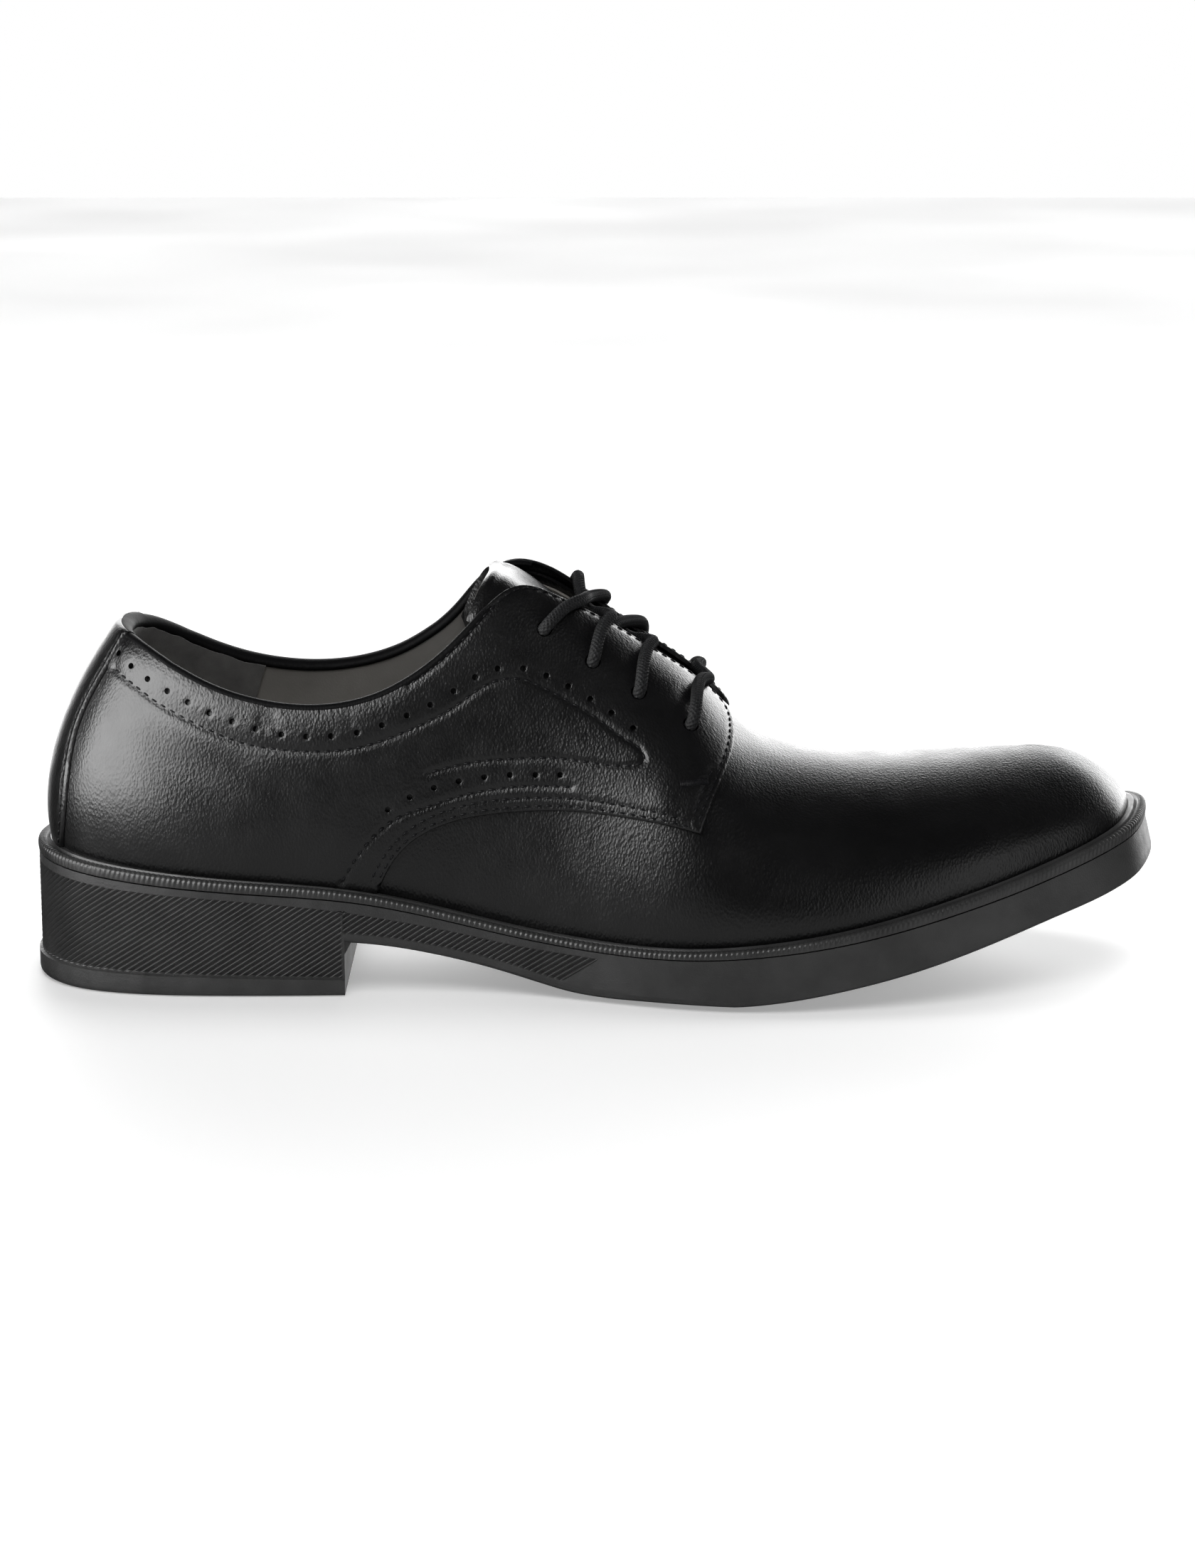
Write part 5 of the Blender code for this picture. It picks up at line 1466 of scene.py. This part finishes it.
def spaced_grid(outline, step):
    """Points in even rows over an outline, every other row set back by half a step."""
    corner = outline.min(axis=0)
    count = ((outline.max(axis=0) - corner) // step).astype(int) + 1
    i, j = (v.ravel() for v in np.meshgrid(np.arange(count[0] + 1), np.arange(count[1] + 1)))
    return corner + step * np.stack([i + 0.5 * (j % 2), j], axis=1)


def well_inside(outline, points, margin):
    """Those points that lie inside an outline and clear of it."""
    kept = []
    for start in range(0, len(points), INSIDE_BATCH):
        part = points[start:start + INSIDE_BATCH]
        part = part[inside(outline, part)]
        kept.append(part[clearance(outline, part) > margin])
    return np.concatenate(kept)


def quarter_relief(side, base, edge, holes, lines):
    """Outward height of a quarter's face: rounded edges, sewn channels, padding and soft folds."""
    out = np.full(len(base), QUARTER_HIGH)
    from_edge = line_distance(base, edge)
    near = np.clip(1.0 - from_edge / ROUND_EDGE, 0.0, 1.0)
    out -= ROUND_EDGE * (1.0 - np.sqrt(1.0 - near ** 2))
    for i, line in enumerate(lines):
        apart = line_distance(base, on_last(side, line))
        out -= CHANNEL_DEPTHS[i >= DEEP_ROWS] * np.exp(-(apart / CHANNEL_WIDTH) ** 2)
        out += BANK * np.exp(-(apart - BANK_PLACE) ** 2)
    band = line_distance(base, on_last(side, lines[0]))
    padded = eased(from_edge / PADDING_EDGE) * eased(band / PADDING_EDGE)
    run = int(np.argmax(COLLAR_STITCH["x"])) + 1
    above = base[:, 2] > np.interp(base[:, 0], COLLAR_STITCH["x"][:run], COLLAR_STITCH["z"][:run])
    out += PADDING * padded * above * eased((PADDING_FRONT_X - base[:, 0]) / PADDING_FADE)
    for centre in holes:
        apart = np.linalg.norm(base - centre, axis=1)
        out -= HOLE_DIMPLE * np.exp(-((apart - HOLE_RADIUS) / DIMPLE_WIDTH) ** 2)
    for x0, z0, x1, z1, height, width in zip(*FOLDS.values()):
        start = np.array([x0, z0])
        run = np.array([x1, z1]) - start
        flat = base[:, [0, 2]] - start
        share = (flat @ run) / (run @ run)
        beside = np.linalg.norm(flat - np.clip(share, 0.0, 1.0)[:, None] * run, axis=1)
        fade = np.sin(np.pi * np.clip(0.5 + (share - 0.5) * FOLD_FADE, 0.0, 1.0))
        out += height * fade * np.exp(-(beside / width) ** 2)
    return out


def quarter_skin(name, side, node):
    """Quarter with perforations, eyelets, sewn channels and padded collar."""
    scale = flat_scale(side)
    top, low, seat = quarter_edges(side)
    outline = np.concatenate([top, low[1:], seat]) * scale
    centres = places_from_side(side, COLLAR_HOLES) + places_from_side(side, LOWER_HOLES)
    openings = [(place, HOLE_RADIUS, HOLE_RIM, HOLE_FACETS) for place in centres]
    openings += [(place, EYELET_RADIUS, EYELET_RIM, EYELET_FACETS)
                 for place in places_from_side(side, EYELETS)]
    rings = [flat_circle(side, place, radius, facets) * scale for place, radius, _, facets in openings]
    outer_rings = [flat_circle(side, place, radius + rim, facets) * scale
                   for place, radius, rim, facets in openings]
    seams = stitch_lines(side)
    features = np.concatenate([line * scale for line in seams] + rings)
    coarse = spaced_grid(outline, QUARTER_STEP)
    coarse = coarse[line_distance(coarse, features) > FINE_REACH]
    fine = spaced_grid(outline, FINE_STEP)
    fine = fine[line_distance(fine, features) < FINE_REACH - 0.5 * FINE_STEP]
    grid = np.concatenate([well_inside(outline, coarse, COARSE_MARGIN),
                           well_inside(outline, fine, FINE_MARGIN)])
    for ring, opening in zip(outer_rings, openings):
        centre = np.array(opening[0]) * scale
        reach = np.linalg.norm(ring - centre, axis=1).max() + RIM_MARGIN
        grid = grid[np.linalg.norm(grid - centre, axis=1) > reach]
    inward = turned_right(unit(np.roll(outline, -1, axis=0) - np.roll(outline, 1, axis=0)))
    for distance in EDGE_ROWS:
        row = outline + inward * distance
        row = row[inside(outline, row)]
        grid = np.concatenate([grid, row[clearance(outline, row) > 0.8 * distance]])
    lines = [[tuple(p) for p in ring] + [tuple(ring[0])] for ring in rings]
    loose = [tuple(p) for p in grid] + [tuple(p) for ring in outer_rings for p in ring]
    flat, triangles = triangulate([tuple(p) for p in outline], lines, loose)
    middle = flat[np.array(triangles)].mean(axis=1)
    kept = np.ones(len(middle), bool)
    for ring in rings:
        kept &= ~inside(ring, middle)
    triangles = np.array(triangles)[kept]
    u, phi = (flat / scale).T
    base = last_point(side, u, phi)
    normal = last_normal(side, u, phi)
    edge = np.concatenate([on_last(side, line) for line in (top, low)])
    holes = [last_point(side, *place) for place in centres]
    out = quarter_relief(side, base, edge, holes, seams)
    faces = [base + normal * out[:, None], base + normal * QUARTER_LOW]
    for layer in faces:
        layer[:, 2] = np.maximum(layer[:, 2], seat_height(side, u))
    count = len(base)
    links = np.concatenate([triangles[:, [0, 1]], triangles[:, [1, 2]], triangles[:, [2, 0]]])
    ordered = np.sort(links, axis=1)
    _, first, uses = np.unique(ordered, axis=0, return_index=True, return_counts=True)
    border = links[first[uses == 1]]
    walls = np.stack([border[:, 0], border[:, 1], border[:, 1] + count, border[:, 0] + count], axis=1)
    shape = triangles.tolist() + (triangles[:, ::-1] + count).tolist() + walls.tolist()
    return piece(name, np.concatenate(faces), shape, LEATHER, [node], SHARP_QUARTER)


# Stitches
# Shape of one stitch: place along it as a share of its length, girth and height as shares of its radius
STITCH_SHAPE = table(
    "place girth height",
    (-0.5, 0.35, -0.9), (-0.44, 0.75, -0.45), (-0.25, 1.0, 0.0), (0.0, 1.05, 0.1), (0.25, 1.0, 0.0),
    (0.44, 0.75, -0.45), (0.5, 0.35, -0.9),
)


def capsule(length, radius):
    """Points and faces of one short stitch along x."""
    along_x = STITCH_SHAPE["place"] * length
    girth = STITCH_SHAPE["girth"] * radius
    sink = STITCH_SHAPE["height"] * radius
    turns = np.linspace(0.0, 2 * np.pi, STITCH_FACETS, endpoint=False)
    rings = [[(x, g * math.cos(t), s + g * math.sin(t)) for t in turns]
             for x, g, s in zip(along_x, girth, sink)]
    return np.array(rings).reshape(-1, 3), tube_faces(len(rings), STITCH_FACETS)


def stitches(name, rows, length=STITCH_LENGTH, radius=STITCH_RADIUS, pitch=STITCH_PITCH):
    """All stitches of some rows, each row given as points and outward directions."""
    shape, shape_faces = capsule(length, radius)
    points, faces = [], []
    for path, normals in rows:
        reach = running_length(path)
        spots = np.arange(0.5 * pitch, reach[-1], pitch)
        middle = read_along(spots, reach, path)
        after = read_along(spots + STITCH_REACH, reach, path)
        ahead = unit(after - read_along(spots - STITCH_REACH, reach, path))
        aside = unit(np.cross(read_along(spots, reach, normals), ahead))
        up = np.cross(ahead, aside)
        for m, a, s, n in zip(middle, ahead, aside, up):
            start = len(points) * len(shape)
            points.append(m + shape @ np.stack([a, s, n]))
            faces += [[start + i for i in face] for face in shape_faces]
    return piece(name, np.concatenate(points), faces, THREAD)


def sewn(side, places, out):
    """Points and outward directions of a row of stitches on a face at a distance."""
    normal = smooth_normals(side, places[:, 0], places[:, 1])
    return on_last(side, places) + normal * out, normal


def bar_tacks():
    """Dense cross stitches that close the front of each quarter."""
    for side, name in zip(SIDES, ("lateral_tack", "medial_tack")):
        path, normal = sewn(side, surface_line(side, BAR_TACK, TACK_FINENESS), QUARTER_HIGH + TACK_RISE)
        aside = frames_along(path, normal)[1]
        reach = running_length(path)
        rows = []
        for spot in np.arange(0.0, reach[-1], TACK_STEP):
            i = int(np.searchsorted(reach, spot))
            half = aside[i] * 0.5 * TACK_WIDTH
            rows.append((np.linspace(path[i] - half, path[i] + half, TACK_POINTS),
                         np.repeat(normal[i:i + 1], TACK_POINTS, axis=0)))
        stitches(name, rows, TACK_WIDTH, STITCH_RADIUS, TACK_WIDTH)


# Backstay and collar rim
BACKSTAY_ROW = 1.5        # its stitches lie this far inside the edge
BACKSTAY_ROUND = 0.8      # radius of its edges and of its top
BACKSTAY_TOP_ROUND = 1.5
BACKSTAY_THINNING = 0.7   # share of its thickness lost at the edges
BACKSTAY_CHANNEL = 0.28
BACKSTAY_CHANNEL_WIDTH = 0.55
BACKSTAY_STITCH_DEPTH = 0.15
BACKSTAY_START = 1.0      # its stitches start this far above the seat
BACKSTAY_END = 0.02       # and end this far below the collar, as a place up the section


def backstay_skin():
    """Strip over the back seam with rounded edges, sewn near both of them."""
    columns, rows = 61, 90
    half = backstay_half(rows)
    outer, inner = [], []
    for reach in np.linspace(-1.0, 1.0, columns):
        side = LATERAL if reach < 0.0 else MEDIAL
        u = abs(reach) * half
        start = phi_at_height(side, u, seat_height(side, u))
        end = np.array([collar_place(side, float(v), 0.0) for v in u[[0, rows // 2, -1]]])
        end = np.interp(np.arange(rows), [0, rows // 2, rows - 1], end)
        phi = start + (end - start) * np.linspace(0.0, 1.0, rows)
        line = last_point(side, u, phi)
        normal = smooth_normals(side, u, phi)
        from_edge = (1.0 - abs(reach)) * half * EDGE.length(side)
        from_top = np.linalg.norm(line - line[-1], axis=1)
        near = np.minimum(from_edge / BACKSTAY_ROUND, from_top / BACKSTAY_TOP_ROUND)
        near = np.clip(1.0 - near, 0.0, 1.0)
        crown = BACKSTAY * (1.0 - BACKSTAY_THINNING * (1.0 - np.sqrt(1.0 - near ** 2)))
        channel = BACKSTAY_CHANNEL * np.exp(-((from_edge - BACKSTAY_ROW) / BACKSTAY_CHANNEL_WIDTH) ** 2)
        for layer, out in ((outer, BACKSTAY_LOW + crown - channel), (inner, np.full(rows, BACKSTAY_LOW))):
            moved = line + normal * out[:, None]
            moved[:, 2] = np.maximum(moved[:, 2], seat_height(side, u))
            layer.append(moved)
    points, faces = slab(np.array(outer), np.array(inner))
    return piece("backstay_skin", points, faces, LEATHER, ["backstay"], SHARP_SHEET)


def backstay_stitches():
    """Points and outward directions of the rows of stitches on both sides of the backstay."""
    rows = []
    count = 160
    half = backstay_half(count)
    for side in SIDES:
        u = half - BACKSTAY_ROW / EDGE.length(side)
        start = phi_at_height(side, u, seat_height(side, u) + BACKSTAY_START)
        end = collar_place(side, float(u[-1]), 0.0) - BACKSTAY_END
        phi = start + (end - start) * np.linspace(0.0, 1.0, count)
        rows.append(sewn(side, np.stack([u, phi], axis=1), BACKSTAY_LOW + BACKSTAY - BACKSTAY_STITCH_DEPTH))
    return rows


# Section of the rolled collar: distances outward and upward from the collar's edge
RIM_PROFILE = table(
    "out up",
    (1.9, -1.7), (2.02, -1.1), (1.94, -0.55), (1.55, -0.05), (0.9, 0.2), (0.1, 0.28), (-0.8, 0.2),
    (-1.6, -0.1), (-2.15, -0.6), (-2.35, -1.3), (-2.25, -2.0), (-1.6, -2.2), (1.2, -2.1),
)
RIM_END_X = -17.0
RIM_TAPER = 24.0          # points over which its size falls off towards an end
RIM_BLUNT = 0.35          # share of the size that is left there
FOLD_GROWTH = 1.15        # the backstay's fold over the rim is this much larger
FOLD_BLUNT = 0.9
FOLD_OUT = 1.2            # outward share of that growth
FOLD_POINTS = 60


def rolled_edge(name, lateral, medial, growth, blunt):
    """Rolled edge over quarter, upper and lining along places of both sides that start at the back."""
    places = [(LATERAL, *place) for place in lateral[::-1]] + [(MEDIAL, *place) for place in medial[1:]]
    base = np.array([last_point(side, u, phi) for side, u, phi in places])
    normal = np.array([smooth_normals(side, u, phi) for side, u, phi in places])
    ahead, aside, _ = frames_along(base, normal)
    up = aside * np.sign(aside[:, 2:3])
    out = np.cross(up, ahead)
    out *= np.sign((out * normal).sum(axis=1))[:, None]
    from_end = np.minimum(np.arange(len(base)), np.arange(len(base))[::-1])
    size = growth * (blunt + (1.0 - blunt) * np.minimum(1.0, from_end / RIM_TAPER))
    sideways = RIM_PROFILE["out"] + (growth - 1.0) * FOLD_OUT * (RIM_PROFILE["out"] > 0.0)
    points = (base[:, None, :] + out[:, None, :] * (sideways * np.minimum(size, 1.0)[:, None])[..., None]
              + up[:, None, :] * (RIM_PROFILE["up"] * size[:, None] + growth - 1.0)[..., None])
    faces = tube_faces(*points.shape[:2])
    return piece(name, points.reshape(-1, 3), faces, RIM_LEATHER, (), SHARP_RIM)


def collar_rim():
    """Rim of the collar as far as the facings' top corners, and the backstay's fold over it."""
    sides = []
    for side in SIDES:
        top = quarter_edges(side)[0]
        x = on_last(side, top)[:, 0]
        back = [(u, collar_place(side, u, 0.0)) for u in np.linspace(0.0, top[0, 0], 4)[:-1]]
        sides.append(np.concatenate([back, top[:int(np.argmax(x > RIM_END_X))]]))
    rolled_edge("collar_rim", *sides, 1.0, RIM_BLUNT)
    shares = np.linspace(0.0, float(backstay_half(2)[-1]), FOLD_POINTS)
    fold = [[(u, collar_place(side, u, 0.0)) for u in shares] for side in SIDES]
    rolled_edge("backstay_fold", *fold, FOLD_GROWTH, FOLD_BLUNT)


# Tongue
TONGUE_LINING = 0.35      # thickness of its lining, and how far that lies inside the padding
TONGUE_LAP = 0.1
TONGUE_LINED = (slice(1, 24), slice(3, -3))   # rows and columns of its back that the lining covers
TONGUE_ENDS = 30.0        # how fast its ends and its sides are rounded off
TONGUE_SIDES = 14.0
TONGUE_SEAM = 3.4         # place of the seam below its top, width and depth
TONGUE_SEAM_WIDTH = 0.8
TONGUE_SEAM_DEPTH = 0.35


def tongue_skin():
    """Padded tongue: crowned, thin at its edges, pressed down under the laces."""
    rows, columns = 90, 61
    outer, inner = [], []
    for share in np.linspace(0.0, 1.0, rows):
        run = (TONGUE_FRONT_X - TONGUE_TOP_X) * share
        seam = TONGUE_SEAM_DEPTH * math.exp(-((run - TONGUE_SEAM) / TONGUE_SEAM_WIDTH) ** 2)
        lines = [[], []]
        for across in np.linspace(-1.0, 1.0, columns):
            side = LATERAL if across < 0.0 else MEDIAL
            x = TONGUE_TOP_X + run + TONGUE_SWEEP * (1.0 - share) ** 3 * across ** 2
            u = float(ridge_share(x))
            phi = float(phi_at_half(side, u, float(tongue_half(x)) * abs(across))) if across else RIDGE
            normal = smooth_normals(side, u, phi)
            base = bare_point(side, u, phi)
            high = -(WALL + TONGUE_GAP) - TONGUE_DIP * math.sin(math.pi * share) * (1.0 - across ** 2) ** 2
            padding = TONGUE * (1.0 - TONGUE_THINNING * across ** 4)
            end = min(1.0, share * TONGUE_ENDS, (1.0 - share) * TONGUE_ENDS,
                      (1.0 - abs(across)) * TONGUE_SIDES)
            rounded = 0.5 * padding * (1.0 - math.sqrt(max(0.0, 1.0 - (1.0 - end) ** 2)))
            lines[0].append(base + normal * (high - rounded - seam))
            lines[1].append(base + normal * (high - padding + rounded))
        outer.append(lines[0])
        inner.append(lines[1])
    points, faces = slab(np.array(outer), np.array(inner))
    back = np.array(inner)[TONGUE_LINED]
    down = unit(np.array(outer)[TONGUE_LINED] - back)
    back_points, back_faces = slab(back + TONGUE_LAP * down, back - TONGUE_LINING * down)
    piece("tongue_lining", back_points, back_faces, LINING, (), SHARP_SHEET)
    thing = piece("tongue_skin", points, faces, LEATHER, ["tongue"], SHARP_SHEET)
    return thing


# Laces
BRAID_FACETS = 40
BRAID_STEP = 0.2
BRAID_TURN = 7.0          # length of one turn of a strand round the lace
BRAID_STRANDS = 14
BRAID_RELIEF = 0.3
BRAID_LEVEL = 0.7         # height of the strands that counts as the lace's radius
LACE_SINK = 3.2           # the lace starts this far inside an eyelet
LACE_RISE = 0.5           # and comes out of it this far above the quarter
LACE_REST = QUARTER_HIGH + LACE_RADIUS - 0.1
LACE_EDGE = LACE_REST - 0.1
MIDDLE = 2                # a point over the ridge, instead of one beside a facing's edge
# Runs of the lace: each starts and may end in an eyelet, counted from 0 (-1 for none). Its points lie
# beside the edge of a facing (how far outside it) or over the ridge, each with its height.
LACE_ROUTES = (
    ("lace_near_1", (LATERAL, 0), (MEDIAL, 1), (
        (LATERAL, -9.4, 3.4, LACE_REST), (LATERAL, -6.0, 0.2, LACE_EDGE), (LATERAL, -4.4, -4.0, 2.1),
        (MIDDLE, -2.6, 0.0, 1.2), (MEDIAL, -0.9, -4.0, 2.0), (MEDIAL, 0.2, 0.2, LACE_EDGE),
        (MEDIAL, -0.4, 3.4, LACE_REST))),
    ("lace_near_2", (LATERAL, 1), (MEDIAL, 0), (
        (LATERAL, 0.6, 3.4, LACE_REST), (LATERAL, 1.9, 0.2, LACE_EDGE), (LATERAL, 0.6, -3.8, 0.9),
        (MIDDLE, -2.8, 0.0, -1.9), (MEDIAL, -5.6, -4.0, 1.0), (MEDIAL, -7.2, 0.2, LACE_EDGE),
        (MEDIAL, -9.6, 3.4, LACE_REST))),
    ("lace_far_3", (MEDIAL, 2), (LATERAL, -1), (
        (MEDIAL, 10.8, 3.4, LACE_REST), (MEDIAL, 10.2, 0.2, LACE_EDGE), (MEDIAL, 9.0, -3.6, 2.1),
        (MIDDLE, 6.8, 0.0, 0.8), (LATERAL, 4.4, -3.6, -1.2), (LATERAL, 3.2, 3.0, -4.6))),
    ("lace_near_3", (LATERAL, 2), (MEDIAL, -1), (
        (LATERAL, 12.0, 3.4, LACE_REST), (LATERAL, 12.9, 0.2, LACE_EDGE), (LATERAL, 11.3, -3.8, 0.9),
        (MIDDLE, 7.8, 0.0, -2.2), (MEDIAL, 4.0, -3.0, -3.0), (MEDIAL, 2.0, 3.0, -5.2))),
    ("lace_bar_run", (LATERAL, 3), (MEDIAL, 3), (
        (LATERAL, 26.2, 3.4, LACE_REST), (LATERAL, 27.6, 0.2, LACE_EDGE), (MIDDLE, 27.2, 0.0, 2.7),
        (MEDIAL, 26.0, 0.2, LACE_EDGE), (MEDIAL, 25.4, 3.4, LACE_REST))),
)
# Solids that the runs stand for
LACE_NODES = {"lace_near_1": ["lace_cross_1"], "lace_far_3": ["lace_cross_2"], "lace_bar_run": ["lace_bar"]}


def out_of_eyelet(side, row):
    """From inside an eyelet up to where the lace lies on the quarter."""
    u, phi = place_from_side(side, EYELETS["x"][row], EYELETS["z"][row])
    base = last_point(side, u, phi)
    normal = last_normal(side, u, phi)
    return [base - normal * LACE_SINK, base + normal * (QUARTER_HIGH + LACE_RISE)]


def lace_paths():
    """Every visible run of the lace, by name."""
    paths = {}
    for name, (side, row), (end_side, end_row), route in LACE_ROUTES:
        path = out_of_eyelet(side, row)
        for kind, x, beside, lift in route:
            if kind == MIDDLE:
                path.append(np.array([x, ridge_y(x), ridge_z(x) + lift]))
            else:
                path.append(over_facing(kind, x, float(facing_half(x)) + beside, lift))
        if end_row >= 0:
            path += out_of_eyelet(end_side, end_row)[::-1]
        paths[name] = path
    return paths


def braid(name, path, nodes):
    """Round braided lace along a path: two sets of strands crossing each other."""
    line = along(path, BRAID_STEP)
    run = np.arange(len(line)) * BRAID_STEP
    ahead = unit(np.gradient(line, axis=0))
    aside = np.empty_like(line)
    aside[0] = np.cross(ahead[0], [1.0, 0.0, 0.0])
    for i in range(len(line)):
        held = aside[max(i - 1, 0)]
        aside[i] = unit(held - ahead[i] * (held @ ahead[i]))
    upright = np.cross(ahead, aside)
    turns = np.linspace(0.0, 2 * np.pi, BRAID_FACETS, endpoint=False)
    winding = 2 * np.pi * run[:, None] / BRAID_TURN
    half = BRAID_STRANDS / 2
    left = np.sin(half * (turns[None, :] + winding))
    right = np.sin(half * (turns[None, :] - winding))
    radius = LACE_RADIUS + BRAID_RELIEF * (np.maximum(left, right) - BRAID_LEVEL)
    cosine, sine = (wave(turns)[None, :, None] for wave in (np.cos, np.sin))
    outward = cosine * aside[:, None, :] + sine * upright[:, None, :]
    points = line[:, None, :] + radius[..., None] * outward
    faces = tube_faces(len(line), BRAID_FACETS)
    return piece(name, points.reshape(-1, 3), faces, CORD, nodes, SHARP_LACE)


# Stage
CAMERA_PLACE = (0.0, -974.37, 274.95)
CAMERA_ELEVATION = 13.0
CAMERA_LENS = 84.57
ROOM_GLOW = 0.03
# Panels of light: strength, and for each fade the axis of the direction and the values it runs between
PANELS = (
    (4.5, (("Y", -0.1, 0.35), ("X", -0.58, -0.26), ("X", 0.92, 0.6), ("Z", 0.64, 0.34),
           ("Z", -0.28, -0.1))),
    (0.75, (("X", 0.36, 0.58), ("X", 0.95, 0.8), ("Y", -0.25, -0.45), ("Z", -0.3, -0.1),
            ("Z", 0.65, 0.45))),
    (0.35, (("Z", -0.02, -0.3), ("Y", 0.3, -0.2))),
)
FLOOR_GLOW = 0.3
# Name, place, target, size and power of each soft light, and whether it only shows in reflections
LIGHTS = (
    ("heel_panel", (-0.315, -0.105, 0.14), (-0.16, 0.15, 0.13), (0.32, 0.22), 1.75, True),
    ("heel_panel_end", (-0.149, -0.196, 0.18), (0.006, 0.059, 0.17), (0.06, 0.14), 0.24, True),
    ("overhead", (0.2, 0.5, 1.6), (0.03, 0.0, 0.05), (1.2, 0.6), 9.0, False),
    ("fill", (0.0, -0.8, 1.3), (-0.03, 0.0, 0.05), (1.0, 1.0), 10.0, False),
)
FLOOR_SIZE = 6.0
FAR_CLIP = 20.0
WHITE = (1.0, 1.0, 1.0, 1.0)


def panel(tree, axes, strength, fades):
    """Strength of one soft panel of light, which fades in along parts of the direction."""
    for axis, start, end in fades:
        sockets = {"From Min": min(start, end), "From Max": max(start, end), "To Min": float(start > end),
                   "To Max": float(start < end), "Value": axes[axis]}
        fade = add_node(tree, "ShaderNodeMapRange", sockets, interpolation_type="SMOOTHSTEP")["Result"]
        strength = add_node(tree, "ShaderNodeMath", {0: fade, 1: strength}, operation="MULTIPLY")["Value"]
    return strength


def studio():
    """Dark room with soft panels of light, and plain white as a backdrop."""
    world = bpy.data.worlds.new("studio")
    world.use_nodes = True
    tree = world.node_tree
    place = add_node(tree, "ShaderNodeTexCoord", {})["Generated"]
    axes = add_node(tree, "ShaderNodeSeparateXYZ", {"Vector": place})
    total = ROOM_GLOW
    for strength, fades in PANELS:
        total = add_node(tree, "ShaderNodeMath", {0: panel(tree, axes, strength, fades), 1: total})["Value"]
    lit = tree.nodes["Background"]
    lit.inputs["Color"].default_value = WHITE
    tree.links.new(total, lit.inputs["Strength"])
    plain = add_node(tree, "ShaderNodeBackground", {"Color": WHITE})["Background"]
    seen = add_node(tree, "ShaderNodeLightPath", {})["Is Camera Ray"]
    mix = add_node(tree, "ShaderNodeMixShader", {"Fac": seen, 1: lit.outputs["Background"], 2: plain})
    tree.links.new(mix["Shader"], tree.nodes["World Output"].inputs["Surface"])
    return world


def stage():
    """Pale floor, soft lights and the camera at the photograph's angle."""
    scene = bpy.context.scene
    bpy.ops.mesh.primitive_plane_add(size=FLOOR_SIZE)
    floor = bpy.context.object
    floor.name = "floor"
    n = Nodes("pale_floor", (0.93, 0.93, 0.93), 0.6)
    n.rough(n.noise(3.0, 2.0), 0.55, 0.65)
    n.set("Emission Color", WHITE)
    n.set("Emission Strength", FLOOR_GLOW)
    floor.data.materials.append(n.made)
    floor.visible_glossy = False
    scene.world = studio()
    for name, place, target, size, power, mirrored in LIGHTS:
        lamp = bpy.data.lights.new(name, "AREA")
        lamp.shape = "RECTANGLE"
        lamp.size, lamp.size_y = size
        lamp.energy = power
        thing = bpy.data.objects.new(name, lamp)
        thing.location = place
        thing.rotation_euler = (Vector(target) - Vector(place)).to_track_quat("-Z", "Y").to_euler()
        thing.visible_glossy = mirrored
        thing.visible_diffuse = not mirrored
        thing.visible_camera = False
        scene.collection.objects.link(thing)
    eye = bpy.data.cameras.new("camera")
    eye.lens = CAMERA_LENS
    eye.clip_end = FAR_CLIP
    camera = bpy.data.objects.new("camera", eye)
    camera.location = [(p + s) * MM for p, s in zip(CAMERA_PLACE, ROW_SHIFT)]
    camera.rotation_euler = (math.radians(90.0 - CAMERA_ELEVATION), 0.0, 0.0)
    scene.collection.objects.link(camera)
    scene.camera = camera
    scene.view_settings.view_transform = "Standard"


def main():
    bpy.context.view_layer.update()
    stage()
    for name, path in lace_paths().items():
        braid(name, path, LACE_NODES.get(name, ()))
    outsole_skin()
    welt_skin()
    insole_skin()
    shell("upper_skin", shell_stations(SHELL_STATIONS), SHELL_ROWS, 0.0, SHELL_INNER, LEATHER,
          ["upper"])
    shell("lining", shell_stations(LINING_STATIONS), LINING_ROWS, LINING_OUTER, LINING_INNER, LINING,
          (), LINING_SETBACK, LINING_DROP)
    heel_grip()
    quarter_skin("quarter_lateral_skin", LATERAL, "quarter_lateral")
    quarter_skin("quarter_medial_skin", MEDIAL, "quarter_medial")
    for side, name in zip(SIDES, ("lateral_stitches", "medial_stitches")):
        lines = stitch_lines(side)
        levels = [QUARTER_HIGH - STITCH_DEPTHS[i >= DEEP_ROWS] for i in range(len(lines))]
        stitches(name, [sewn(side, line, out) for line, out in zip(lines, levels)])
    bar_tacks()
    backstay_skin()
    stitches("backstay_stitches", backstay_stitches())
    collar_rim()
    tongue_skin()


main()
